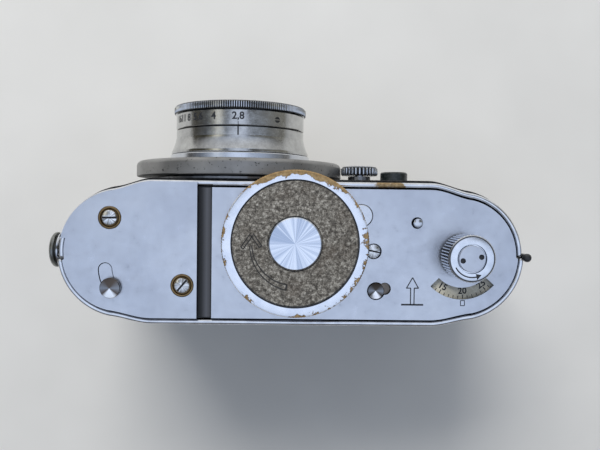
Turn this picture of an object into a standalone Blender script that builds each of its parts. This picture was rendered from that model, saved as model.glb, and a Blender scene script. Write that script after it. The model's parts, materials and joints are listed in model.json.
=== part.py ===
"""Spring-motor 35 mm film camera, lying on its top housing with the base facing up.

Frame: +X runs along the body towards the rewind end, +Y is where the lens points, and +Z
goes out of the base. The origin is on the flat face of the finder hump that the camera rests
on. Sizes below are in millimetres, and MM turns them into Blender's metres.
"""
import math

import bmesh
import bpy

for old in list(bpy.data.objects):
    bpy.data.objects.remove(old, do_unlink=True)

MM = 0.001
GAP = 0.3                      # clearance between pieces that touch or seat on each other

# ---- driving sizes ---------------------------------------------------------------------
END_X = 42.2                   # centre of the round ends, from the middle of the body
END_RADIUS = 16.1              # round end of the front shell
FRONT_Y = 17.8                 # straight front wall
BACK_Y = 18.5                  # straight back wall
BACK_STEP = 0.5                # how far the back door stands outside the front shell's end
SHOULDER_START = 7.1           # the shoulders begin this far inside the end centres
SHOULDER_END = 3.4             # and end this far outside them
WALL = 1.3

HUMP_HEIGHT = 7.0
HOUSING_HEIGHT = 8.0
BODY_HEIGHT = 54.0             # from the top housing to the base plate's face
FLOOR_THICKNESS = 1.0
PLATE_THICKNESS = 1.2
COVER_RISE = 0.8               # left cover above the base plate
PLATE_INSET = 0.3              # dark line between plate and rim
RIM_DROP = 0.5

LENS_X = -15.5
LENS_DEPTH = 31.0              # lens axis below the base plate's face
FLANGE_RADIUS = 29.8
BARREL_RADIUS = 20.0
BARREL_NECK = 18.6
APERTURE_RADIUS = 18.65
FRONT_RING_RADIUS = 19.25
LENS_BORE = 16.8

KNOB_X, KNOB_Y = 0.8, 2.6
KNOB_RADIUS = 17.75
KNOB_HEIGHT = 7.3
KNOB_LIFT = 0.7
DISC_RADIUS = KNOB_RADIUS - 2.65
CAP_RADIUS = 6.35
ARBOR_RADIUS = 2.5

REWIND_X = END_X + 0.65
REWIND_Y = -0.4
REWIND_RADIUS = 5.75
REWIND_HEIGHT = 8.6
SHAFT_RADIUS = 1.6
DIAL_RADIUS = 12.4
WINDOW_INNER, WINDOW_OUTER = 8.25, 11.0

FRAME_WIDTH, FRAME_HEIGHT = 36.0, 24.0
FILM_WIDTH = 35.0
SPRING_BARREL_RADIUS = 12.4
SPOOL_RADIUS = 6.5
SPROCKET_RADIUS = 5.75
CASSETTE_RADIUS = 12.2

FINE, ROUND, SMALL, TINY = 40, 24, 18, 12      # facets round a turned piece

# ---- levels and places that follow from them -------------------------------------------
DECK_Z = HUMP_HEIGHT                                  # face of the top housing
SHELL_Z = DECK_Z + HOUSING_HEIGHT + GAP               # lower edge of the shell and the door
PLATE_Z = DECK_Z + HOUSING_HEIGHT + BODY_HEIGHT       # face of the base plate
RIM_Z = PLATE_Z - RIM_DROP
PLATE_UNDER = PLATE_Z - PLATE_THICKNESS
CHASSIS_TOP = PLATE_UNDER - GAP
CHASSIS_DECK = CHASSIS_TOP - 2.9
COVER_Z = PLATE_Z + COVER_RISE
LENS_Z = PLATE_Z - LENS_DEPTH
KNOB_Z = PLATE_Z + KNOB_LIFT
KNOB_TOP = KNOB_Z + KNOB_HEIGHT
SEAM_RIGHT = -0.7
SEAM_LEFT = -2.2
COVER_EDGE_X = -23.6
PLATE_EDGE_X = -20.0
CHASSIS_INSET = WALL + GAP
GATE_Y = -BACK_Y + WALL + 4.0
INNER_FRONT = FRONT_Y - WALL

# ---- places of the parts ---------------------------------------------------------------
HINGE_X = END_X + END_RADIUS + 1.0
HINGE_Y = SEAM_RIGHT
PIN_RADIUS = 0.9
LATCH_Y = -0.4
LATCH_Z = PLATE_Z - 6.5
DIAL_POST_X, SOCKET_X = 19.3, 29.3
FRONT_PARTS_Z = PLATE_Z - 25.0
MOUNT_RADIUS = 24.0
RELEASE_X, RELEASE_Y = -END_X, 5.0
SPROCKET_X, SPROCKET_Y = LENS_X - FRAME_WIDTH / 2 - 8.5, GATE_Y + 5.0
SPOOL_X, SPOOL_Y = -END_X - 5.4, 5.4
SLIDER_X, SLIDER_Y = -44.8, -9.2
SLIDER_PIVOT_X, SLIDER_PIVOT_Y = -36.6, -4.0
STOP_X, STOP_Y = 21.3, -9.5
PIN_X, PIN_Y = 31.4, 7.75
PIN_BUTTON = 1.15
BASE_SCREW_X, BASE_SCREW_Y = 20.6, 0.5
COVER_DISC_X, COVER_DISC_Y = 17.4, 9.4
COVER_SCREWS = ((-45.2, 8.2), (-27.2, -8.5))
FLOOR_TOP = SHELL_Z + 1.8                             # top of the chassis floor
CASSETTE_LOW = FLOOR_TOP + GAP
CASSETTE_HIGH = CASSETTE_LOW + 43.0
SLIDER_SWING = 28.0

# ---- levels along the lens axis --------------------------------------------------------
LENS_PLACE = (LENS_X, FRONT_Y, LENS_Z)
RING_START = FRONT_Y + 1.7
MOUNT_START = FRONT_Y + GAP
FLANGE_FRONT = RING_START + 4.3
BARREL_START = FLANGE_FRONT + GAP + 0.9 + GAP
APERTURE_START = BARREL_START + 7.9
FRONT_START = APERTURE_START + 4.5
FRONT_END = FRONT_START + 2.1
TUBE_RADIUS = LENS_BORE - GAP
CHAMBER_RADIUS = 13.6


def material(name, colour, roughness, metallic):
    """One Principled material for a piece."""
    made = bpy.data.materials.new(name)
    made.use_nodes = True
    shader = made.node_tree.nodes["Principled BSDF"]
    shader.inputs["Base Color"].default_value = (*colour, 1.0)
    shader.inputs["Roughness"].default_value = roughness
    shader.inputs["Metallic"].default_value = metallic
    return made


FINISHES = {
    "satin_chrome": ((0.55, 0.57, 0.60), 0.38, 1.0),
    "bright_chrome": ((0.75, 0.77, 0.80), 0.12, 1.0),
    "lens_steel": ((0.50, 0.50, 0.50), 0.25, 1.0),
    "flange_grey": ((0.30, 0.31, 0.32), 0.45, 1.0),
    "black_leather": ((0.02, 0.02, 0.02), 0.70, 0.0),
    "black_paint": ((0.02, 0.02, 0.025), 0.45, 0.0),
    "grip_disc": ((0.12, 0.11, 0.09), 0.80, 0.0),
    "brass": ((0.60, 0.42, 0.20), 0.35, 1.0),
    "steel": ((0.42, 0.42, 0.43), 0.35, 1.0),
    "dial_white": ((0.75, 0.73, 0.66), 0.60, 0.0),
    "glass": ((0.85, 0.88, 0.92), 0.05, 0.0),
    "film_can": ((0.35, 0.33, 0.30), 0.40, 0.5),
    "casting": ((0.20, 0.20, 0.21), 0.60, 0.6),
}


def finish_object(name, bm, finish, place=(0, 0, 0), along_y=False, parent=None):
    """Turns a bmesh into a named object; along_y lays its local Z along the lens axis."""
    bmesh.ops.recalc_face_normals(bm, faces=bm.faces)
    mesh = bpy.data.meshes.new(name)
    bm.to_mesh(mesh)
    bm.free()
    mesh.shade_smooth()
    mesh.set_sharp_from_angle(angle=math.radians(32))
    piece = bpy.data.objects.new(name, mesh)
    bpy.context.collection.objects.link(piece)
    mesh.materials.append(material(name, *FINISHES[finish]))
    piece.location = [value * MM for value in place]
    if along_y:
        piece.rotation_euler = (math.radians(-90), 0, 0)
    if parent:
        piece.parent = parent
        piece.location = [value * MM - base for value, base in zip(place, parent.location)]
    return piece


def turned(name, profile, finish, place, segments=ROUND, along_y=False, parent=None):
    """Solid of revolution: profile is (radius, height) points, closed unless it starts and
    ends on the axis. Heights are absolute along Z, or along Y for lens pieces."""
    base = place[1] if along_y else place[2]
    bm = bmesh.new()
    verts = [bm.verts.new((radius * MM, 0, (height - base) * MM)) for radius, height in profile]
    edges = [bm.edges.new(pair) for pair in zip(verts, verts[1:])]
    if profile[0][0] > 0:
        edges.append(bm.edges.new((verts[-1], verts[0])))
    bmesh.ops.spin(bm, geom=verts + edges, axis=(0, 0, 1), cent=(0, 0, 0),
                   angle=math.tau, steps=segments)
    bmesh.ops.remove_doubles(bm, verts=bm.verts, dist=1e-7)
    return finish_object(name, bm, finish, place, along_y, parent)


def prism_mesh(points, low, high):
    """Outline in X and Y, extruded from low to high."""
    bm = bmesh.new()
    face = bm.faces.new([bm.verts.new((x * MM, y * MM, low * MM)) for x, y in points])
    top = bmesh.ops.extrude_face_region(bm, geom=[face])
    lifted = [item for item in top["geom"] if isinstance(item, bmesh.types.BMVert)]
    bmesh.ops.translate(bm, verts=lifted, vec=(0, 0, (high - low) * MM))
    return bm


def prism(name, points, low, high, finish, place=(0, 0, 0), parent=None):
    """Prism whose points and levels are given in world millimetres."""
    shifted = [(x - place[0], y - place[1]) for x, y in points]
    bm = prism_mesh(shifted, low - place[2], high - place[2])
    return finish_object(name, bm, finish, place, parent=parent)


def rectangle(x0, x1, y0, y1):
    return [(x0, y0), (x1, y0), (x1, y1), (x0, y1)]


def circle(x, y, radius, count=SMALL):
    return arc(x, y, radius, 0, 360 - 360 / count, count)


def arc(x, y, radius, start, end, count):
    """Points on an arc, both ends included."""
    steps = [start + (end - start) * i / (count - 1) for i in range(count)]
    return [(x + radius * math.cos(math.radians(a)), y + radius * math.sin(math.radians(a)))
            for a in steps]


def tool(bm):
    """A cutter or joiner: present for the modifiers, left out of the model."""
    made = finish_object("tool", bm, "steel")
    made.hide_render = True
    made.display_type = "WIRE"
    return made


def combine(piece, bm, operation="DIFFERENCE"):
    change = piece.modifiers.new(operation.lower(), "BOOLEAN")
    change.operation = operation
    change.solver = "EXACT"
    change.object = tool(bm)
    # The joiner is modelled in world axes, so it is carried by the piece it changes.
    change.object.location = (0, 0, 0)


def cut_prism(piece, points, low, high):
    combine(piece, prism_mesh(points, low, high))


def cylinder_mesh(centre, radius, start, end, along="Z", count=SMALL):
    """Round rod: centre is the axis's place in the two other axes."""
    bm = prism_mesh(circle(0, 0, radius, count), start, end)
    if along == "Y":                                    # local Z becomes world Y
        for vert in bm.verts:
            x, y, z = vert.co
            vert.co = (x, z, -y)
        offset = (centre[0], 0, centre[1])
    elif along == "X":
        for vert in bm.verts:
            x, y, z = vert.co
            vert.co = (z, y, -x)
        offset = (0, centre[0], centre[1])
    else:
        offset = (centre[0], centre[1], 0)
    bmesh.ops.translate(bm, verts=bm.verts, vec=[value * MM for value in offset])
    bmesh.ops.recalc_face_normals(bm, faces=bm.faces)
    return bm


def box_mesh(x0, x1, y0, y1, z0, z1):
    return prism_mesh(rectangle(x0, x1, y0, y1), z0, z1)


# ---- outline of the body ---------------------------------------------------------------
def shoulder(start, end, end_slope, count=5):
    """Soft S from the straight wall down to the round end."""
    points = []
    span = end[0] - start[0]
    for i in range(count):
        t = i / (count - 1)
        rise = start[1] * (2 * t**3 - 3 * t**2 + 1) + end[1] * (3 * t**2 - 2 * t**3)
        points.append((start[0] + span * t, rise + end_slope * span * (t**3 - t**2)))
    return points


def half_outline(side, inset, seam_right=0.0, seam_left=0.0):
    """Half of the body's outline, from the right seam round to the left one.

    side is +1 for the front half and -1 for the back half, which is larger by BACK_STEP."""
    radius = END_RADIUS + (0 if side > 0 else BACK_STEP) - inset
    wall_y = (FRONT_Y if side > 0 else BACK_Y) - inset
    middle_y = REWIND_Y * side
    run = SHOULDER_END * radius / (END_RADIUS - inset)
    top = middle_y + math.sqrt(radius**2 - run**2)
    slope = -0.10
    bend = shoulder((END_X - SHOULDER_START, wall_y), (END_X + run, top), slope)
    first = math.degrees(math.acos(run / radius))

    def seam_angle(seam):
        return math.degrees(math.asin((seam * side - middle_y) / radius))

    right = arc(END_X, middle_y, radius, seam_angle(seam_right), first, 9)[:-1] + bend[::-1]
    left = arc(END_X, middle_y, radius, seam_angle(seam_left), first, 9)[:-1] + bend[::-1]
    points = right + [(-x, y) for x, y in left[::-1]]
    return [(x, y * side) for x, y in points]


def full_outline(inset):
    """Closed outline that follows both halves and steps out just behind their seams."""
    front = half_outline(1, inset, SEAM_RIGHT, SEAM_LEFT)
    back = half_outline(-1, inset, SEAM_RIGHT - GAP, SEAM_LEFT - GAP)
    return front + back[::-1]


def clip_outline(points, x0, x1):
    """The stretch of a closed outline between two X values, squared off at them."""
    kept = []
    for (ax, ay), (bx, by) in zip(points, points[1:] + points[:1]):
        for limit in sorted((x0, x1), reverse=ax > bx):
            if min(ax, bx) < limit < max(ax, bx):
                t = (limit - ax) / (bx - ax)
                kept.append((limit, ay + (by - ay) * t))
        if x0 <= bx <= x1:
            kept.append((bx, by))
    return kept


def wall_strip(side, outer, inner, seam_right, seam_left):
    """Bent strip that follows one half of the outline."""
    return (half_outline(side, outer, seam_right, seam_left)
            + half_outline(side, inner, seam_right, seam_left)[::-1])


# ---- shells ----------------------------------------------------------------------------


def make_shells():
    groove = GAP + PIN_RADIUS
    shell = prism("front_shell", wall_strip(1, 0, WALL, SEAM_RIGHT + GAP / 2, SEAM_LEFT + GAP / 2),
                  SHELL_Z, RIM_Z, "bright_chrome")
    combine(shell, cylinder_mesh((LENS_X, LENS_Z), LENS_BORE + GAP, INNER_FRONT - 1,
                                 FRONT_Y + 1, "Y", ROUND))
    combine(shell, cylinder_mesh((HINGE_X, HINGE_Y), groove, SHELL_Z - 1, RIM_Z + 1, count=20))
    combine(shell, cylinder_mesh((LATCH_Y, LATCH_Z), 0.9 + GAP, -END_X - END_RADIUS - 2,
                                 -END_X - END_RADIUS + WALL + 1, "X", 20))
    combine(shell, cylinder_mesh((DIAL_POST_X, FRONT_PARTS_Z), 1.2 + GAP, INNER_FRONT - 1,
                                 FRONT_Y + 1, "Y", 16))

    skin = prism("front_leather", wall_strip(1, -GAP - 0.45, -GAP, SEAM_RIGHT + 1.6, SEAM_LEFT + 1.6),
                 SHELL_Z + 1.5, RIM_Z - 4.8, "black_leather")
    combine(skin, cylinder_mesh((LENS_X, LENS_Z), MOUNT_RADIUS + GAP, FRONT_Y - 1,
                                FRONT_Y + 2, "Y", ROUND))
    for x, radius in ((DIAL_POST_X, 3.2), (SOCKET_X, 3.9)):
        combine(skin, cylinder_mesh((x, FRONT_PARTS_Z), radius + GAP, FRONT_Y - 1,
                                    FRONT_Y + 2, "Y", 20))
    # Clearance round the latch stud, which sits on the bare end wall.
    combine(skin, cylinder_mesh((LATCH_Y, LATCH_Z), 4.5 + GAP, -END_X - END_RADIUS - 3,
                                -END_X - END_RADIUS + WALL, "X", 24))

    door_strip = wall_strip(-1, 0, WALL, SEAM_RIGHT - GAP / 2, SEAM_LEFT - GAP / 2)
    door = prism("back_door", door_strip, SHELL_Z, RIM_Z, "bright_chrome", (HINGE_X, HINGE_Y, 0))
    combine(door, cylinder_mesh((HINGE_X, HINGE_Y), groove, SHELL_Z - 1, RIM_Z + 1, count=20))
    prism("back_leather", wall_strip(-1, -GAP - 0.45, -GAP, SEAM_RIGHT - 4.0, SEAM_LEFT - 4.0),
          SHELL_Z + 1.5, RIM_Z - 4.8, "black_leather", (HINGE_X, HINGE_Y, 0))
    plate_back = -BACK_Y + WALL + 0.6
    middle = LENS_X
    plate = prism("pressure_plate", rectangle(middle - 19.5, middle + 19.5, plate_back,
                                              plate_back + 1.2),
                  LENS_Z - FILM_WIDTH / 2, LENS_Z + FILM_WIDTH / 2, "black_paint",
                  (middle, plate_back, LENS_Z))
    plate.modifiers.new("soft_edges", "BEVEL").width = 0.25 * MM

    ball = PIN_RADIUS + 0.15
    turned("hinge_pin", [(0, SHELL_Z), (PIN_RADIUS, SHELL_Z), (PIN_RADIUS, RIM_Z + 0.1),
                         (ball, RIM_Z + 0.5), (ball, RIM_Z + 0.9), (0.6, RIM_Z + 1.5),
                         (0, RIM_Z + 1.6)],
           "black_paint", (HINGE_X, HINGE_Y, SHELL_Z), 16)


def make_latch():
    """Round stud on the left end: a chamfered head on a neck, and a fixed bright collar."""
    wall_x = -END_X - END_RADIUS
    collar = [(1.2 + GAP, 0.8), (4.4, 0.8), (4.4, 1.5), (1.2 + GAP, 1.5)]
    keeper = -WALL - GAP
    stud = [(0, keeper - 0.8), (1.6, keeper - 0.8), (1.6, keeper), (0.9, keeper), (0.9, 1.8),
            (3.3, 1.8), (3.3, 2.0), (4.5, 2.0), (4.5, 2.7), (3.9, 3.3), (0, 3.3)]
    for name, profile in (("latch_collar", collar), ("latch_stud", stud)):
        piece = turned(name, profile, "bright_chrome", (wall_x, LATCH_Y, LATCH_Z), SMALL)
        shift = LATCH_Z * MM
        for vert in piece.data.vertices:
            x, y, z = vert.co
            vert.co = (-(z + shift), y, x)
        piece.data.update()


def make_top_housing():
    housing = prism("top_housing", full_outline(0), DECK_Z, DECK_Z + HOUSING_HEIGHT, "satin_chrome")
    hump = rounded_rectangle(LENS_X - 16.5, LENS_X + 27.5, -15.0, 15.0, 3.0)
    combine(housing, prism_mesh(hump, 0, DECK_Z + 0.5), "UNION")
    cut_prism(housing, full_outline(WALL), DECK_Z + FLOOR_THICKNESS, DECK_Z + HOUSING_HEIGHT + 1)
    inner = rounded_rectangle(LENS_X - 15.2, LENS_X + 26.2, -13.7, 13.7, 1.7)
    cut_prism(housing, inner, FLOOR_THICKNESS + 0.2, DECK_Z + FLOOR_THICKNESS + 1)
    combine(housing, box_mesh(LENS_X - 5.2, LENS_X + 5.2, 12, 16, 1.6, 6.4))
    combine(housing, cylinder_mesh((LENS_X, 4.0), 2.4, -16, -12, "Y", 24))
    combine(housing, cylinder_mesh((RELEASE_X, RELEASE_Y), 1.4 + GAP, DECK_Z - 1, DECK_Z + 2,
                                   count=20))
    return housing


def rounded_rectangle(x0, x1, y0, y1, radius, count=5):
    corners = ((x1 - radius, y0 + radius, -90), (x1 - radius, y1 - radius, 0),
               (x0 + radius, y1 - radius, 90), (x0 + radius, y0 + radius, 180))
    points = []
    for x, y, start in corners:
        points += arc(x, y, radius, start, start + 90, count)
    return points


def make_top_fittings():
    prism("finder_front_glass", rectangle(LENS_X - 4.9, LENS_X + 4.9, 13.9, 14.7), 1.9, 6.1, "glass")
    turned("finder_eyepiece", [(0, -14.8), (2.1, -14.8), (2.1, -13.2), (0, -13.2)], "glass",
           (LENS_X, -14.8, 4.0), 24, True)
    shoe_x = 26.5
    base = DECK_Z - GAP
    shoe = prism("accessory_shoe", rectangle(shoe_x - 10.7, shoe_x + 10.7, -9, 9), base - 3.4, base,
                 "bright_chrome")
    combine(shoe, box_mesh(shoe_x - 9.4, shoe_x + 9.4, -10, 10, base - 2.5, base - 0.7))
    combine(shoe, box_mesh(shoe_x - 7.0, shoe_x + 7.0, -10, 10, base - 4, base - 2.4))
    turned("release_collar", [(1.4 + GAP, DECK_Z - 2.2), (4.2, DECK_Z - 2.2), (4.6, DECK_Z - 1.6),
                              (4.6, DECK_Z - GAP), (1.4 + GAP, DECK_Z - GAP)],
           "bright_chrome", (RELEASE_X, RELEASE_Y, DECK_Z), SMALL)
    turned("release_button", [(0, DECK_Z - 4.8), (2.2, DECK_Z - 4.8), (2.8, DECK_Z - 4.3),
                              (2.8, DECK_Z - 3.6), (1.4, DECK_Z - 3.6), (1.4, DECK_Z + 2.4),
                              (0, DECK_Z + 2.4)],
           "bright_chrome", (RELEASE_X, RELEASE_Y, DECK_Z), SMALL)


# ---- chassis and film path -------------------------------------------------------------


def make_chassis():
    """Die-cast frame: a deck under the base plate, a floor, the gate wall and two columns."""
    chassis = prism("chassis", full_outline(CHASSIS_INSET), CHASSIS_DECK, CHASSIS_TOP, "casting")
    combine(chassis, prism_mesh(full_outline(CHASSIS_INSET), SHELL_Z, FLOOR_TOP), "UNION")
    wall_right = REWIND_X - CASSETTE_RADIUS - 4.0
    gate_left = LENS_X - FRAME_WIDTH / 2 - 1.8
    overlap = 0.5
    joins = (
        (gate_left, wall_right, GATE_Y, GATE_Y + 1.6, FLOOR_TOP - overlap, LENS_Z + 18.0),
        (wall_right - 1.6, wall_right, GATE_Y + 0.2, 13.0, FLOOR_TOP - overlap, CHASSIS_DECK + overlap),
        (-36.0, -32.0, 9.5, 15.2, FLOOR_TOP - overlap, CHASSIS_DECK + overlap),
    )
    for bounds in joins:
        combine(chassis, box_mesh(*bounds), "UNION")
    cuts = [box_mesh(LENS_X - FRAME_WIDTH / 2 - 0.5, LENS_X + FRAME_WIDTH / 2 + 0.5, GATE_Y - 2,
                     GATE_Y + 3, LENS_Z - FRAME_HEIGHT / 2 - 0.5, LENS_Z + FRAME_HEIGHT / 2 + 0.5)]
    low, high = CHASSIS_DECK - 1, CHASSIS_TOP + 1
    cuts.append(cylinder_mesh((REWIND_X, REWIND_Y), DIAL_RADIUS + 0.5, CHASSIS_TOP - 1.0, high,
                              count=FINE))
    holes = ((REWIND_X, REWIND_Y, SHAFT_RADIUS + 1.4 + GAP), (KNOB_X, KNOB_Y, ARBOR_RADIUS + GAP),
             (STOP_X, STOP_Y, 1.0 + GAP), (PIN_X, PIN_Y, PIN_BUTTON + GAP),
             (BASE_SCREW_X, BASE_SCREW_Y, 0.8 + GAP),
             *((x, y, 0.8 + GAP) for x, y in COVER_SCREWS))
    for x, y, radius in holes:
        cuts.append(cylinder_mesh((x, y), radius, low, high, count=20))
    cuts.append(cylinder_mesh((COVER_DISC_X, COVER_DISC_Y), 2.75 + GAP, CHASSIS_TOP - 0.6, high,
                              count=24))
    # Shallow pocket that the left slider's arm swings in.
    reach = math.dist((SLIDER_X, SLIDER_Y), (SLIDER_PIVOT_X, SLIDER_PIVOT_Y)) + 2.2
    cuts.append(cylinder_mesh((SLIDER_PIVOT_X, SLIDER_PIVOT_Y), reach, CHASSIS_TOP - 1.4, high))
    cuts.append(cylinder_mesh((RELEASE_X, RELEASE_Y), 1.4 + GAP, SHELL_Z - 1, FLOOR_TOP + 1,
                              count=20))
    for cutter in cuts:
        combine(chassis, cutter)


def make_film_path():
    half_w, half_h = FRAME_WIDTH / 2, FRAME_HEIGHT / 2
    gate = prism("film_gate", rectangle(LENS_X - half_w - 1.6, LENS_X + half_w + 6.0,
                                        GATE_Y - GAP - 1.0, GATE_Y - GAP),
                 LENS_Z - FILM_WIDTH / 2, LENS_Z + FILM_WIDTH / 2, "steel")
    combine(gate, box_mesh(LENS_X - half_w, LENS_X + half_w, GATE_Y - 4, GATE_Y + 1,
                           LENS_Z - half_h, LENS_Z + half_h))
    front_y, rear_y = INNER_FRONT - GAP, GATE_Y + 1.6 + 1.4
    chamber = prism("light_chamber", [(LENS_X - half_w - 1.6, rear_y), (LENS_X + half_w + 1.6, rear_y),
                                      (LENS_X + 14.6, front_y), (LENS_X - 14.6, front_y)],
                    LENS_Z - 14.6, LENS_Z + 14.6, "black_paint")
    cut_prism(chamber, [(LENS_X - half_w - 0.6, rear_y - 1), (LENS_X + half_w + 0.6, rear_y - 1),
                        (LENS_X + 13.4, front_y + 1), (LENS_X - 13.4, front_y + 1)],
              LENS_Z - 13.4, LENS_Z + 13.4)
    curtain_y = GATE_Y + 1.6 + 0.5
    prism("shutter_curtain", rectangle(LENS_X - half_w - 1.0, LENS_X + half_w + 3.0, curtain_y,
                                       curtain_y + 0.4), LENS_Z - 14, LENS_Z + 14, "black_leather")
    low, high = LENS_Z - 15, LENS_Z + 15
    roller("curtain_drum", LENS_X + half_w + 7.4, curtain_y + 3.9, 3.6, low, high, 1.0)
    roller("curtain_roller", LENS_X - half_w - 4.2, SPOOL_Y - 2.0, 2.0, low, high, 0.8)

    spool_low, spool_high = FLOOR_TOP + GAP, CHASSIS_DECK - GAP
    film_low, film_high = LENS_Z - FILM_WIDTH / 2, LENS_Z + FILM_WIDTH / 2
    turned("take_up_spool",
           [(0, spool_low), (1.6, spool_low), (1.6, film_low - 1.6), (SPOOL_RADIUS, film_low - 1.6),
            (SPOOL_RADIUS, film_low - 0.6), (4.6, film_low - 0.6), (4.6, film_high + 0.6),
            (SPOOL_RADIUS, film_high + 0.6), (SPOOL_RADIUS, film_high + 1.6),
            (1.6, film_high + 1.6), (1.6, spool_high), (0, spool_high)],
           "black_paint", (SPOOL_X, SPOOL_Y, spool_low), SMALL)
    rim = 1.6
    turned("sprocket",
           [(0, spool_low), (1.2, spool_low), (1.2, film_low), (SPROCKET_RADIUS, film_low + 2),
            (SPROCKET_RADIUS, film_low + 2 + rim), (4.4, film_low + 2 + rim + 0.4),
            (4.4, film_high - 2 - rim - 0.4), (SPROCKET_RADIUS, film_high - 2 - rim),
            (SPROCKET_RADIUS, film_high - 2), (1.2, film_high), (1.2, spool_high), (0, spool_high)],
           "steel", (SPROCKET_X, SPROCKET_Y, spool_low), SMALL)
    can_low, can_high = CASSETTE_LOW, CASSETTE_HIGH
    cassette_profile = [(0, can_low), (5.4, can_low), (5.4, can_low + 0.9),
                        (CASSETTE_RADIUS, can_low + 0.9), (CASSETTE_RADIUS, can_high - 0.9),
                        (5.4, can_high - 0.9), (5.4, can_high), (3.0, can_high),
                        (3.0, can_high - 6.0), (0, can_high - 6.0)]
    turned("film_cassette", cassette_profile, "film_can", (REWIND_X, REWIND_Y, can_low), ROUND)


def roller(name, x, y, radius, low, high, pivot):
    floor, roof = FLOOR_TOP + GAP, CHASSIS_DECK - GAP
    if name == "curtain_drum":
        roof = LENS_Z + 18.0
    turned(name, [(0, floor), (pivot, floor), (pivot, low), (radius, low), (radius, high),
                  (pivot, high), (pivot, roof), (0, roof)], "steel", (x, y, floor), TINY)


def make_motor():
    """Spring barrel under the deck, driven back to the sprocket by one wide idler wheel."""
    roof = CHASSIS_DECK - GAP
    floor = roof - 6.6
    turned("spring_barrel",
           [(ARBOR_RADIUS + GAP, floor), (SPRING_BARREL_RADIUS, floor), (SPRING_BARREL_RADIUS, floor + 1.2),
            (SPRING_BARREL_RADIUS - 0.6, floor + 1.2), (SPRING_BARREL_RADIUS - 0.6, roof),
            (SPRING_BARREL_RADIUS - 1.6, roof), (SPRING_BARREL_RADIUS - 1.6, floor + 1.0),
            (ARBOR_RADIUS + GAP, floor + 1.0)],
           "brass", (KNOB_X, KNOB_Y, floor), ROUND)
    turns, per_turn, thick = 3.5, 14, 0.4
    inner, outer = ARBOR_RADIUS + 0.4, SPRING_BARREL_RADIUS - 2.3
    count = int(turns * per_turn)
    near, far = [], []
    for i in range(count + 1):
        angle = math.tau * i / per_turn
        radius = inner + (outer - inner) * i / count
        near.append((KNOB_X + radius * math.cos(angle), KNOB_Y + radius * math.sin(angle)))
        far.append((KNOB_X + (radius + thick) * math.cos(angle),
                    KNOB_Y + (radius + thick) * math.sin(angle)))
    prism("mainspring", near + far[::-1], floor + 1.4, roof - 0.4, "steel", (KNOB_X, KNOB_Y, floor))
    # The idler's centre lies on the line from the barrel to the sprocket.
    dx, dy = SPROCKET_X - KNOB_X, SPROCKET_Y - KNOB_Y
    distance = math.hypot(dx, dy)
    wheel = (distance - SPRING_BARREL_RADIUS - SPROCKET_RADIUS - 2 * GAP) / 2
    reach = SPRING_BARREL_RADIUS + GAP + wheel
    x, y = KNOB_X + dx / distance * reach, KNOB_Y + dy / distance * reach
    turned("idler_wheel", [(0, floor + 0.2), (2.0, floor + 0.2), (wheel, floor + 0.4),
                           (wheel, floor + 1.6), (2.0, floor + 1.8), (1.2, floor + 2.4), (1.2, roof),
                           (0, roof)], "brass", (x, y, floor), ROUND)


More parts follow.
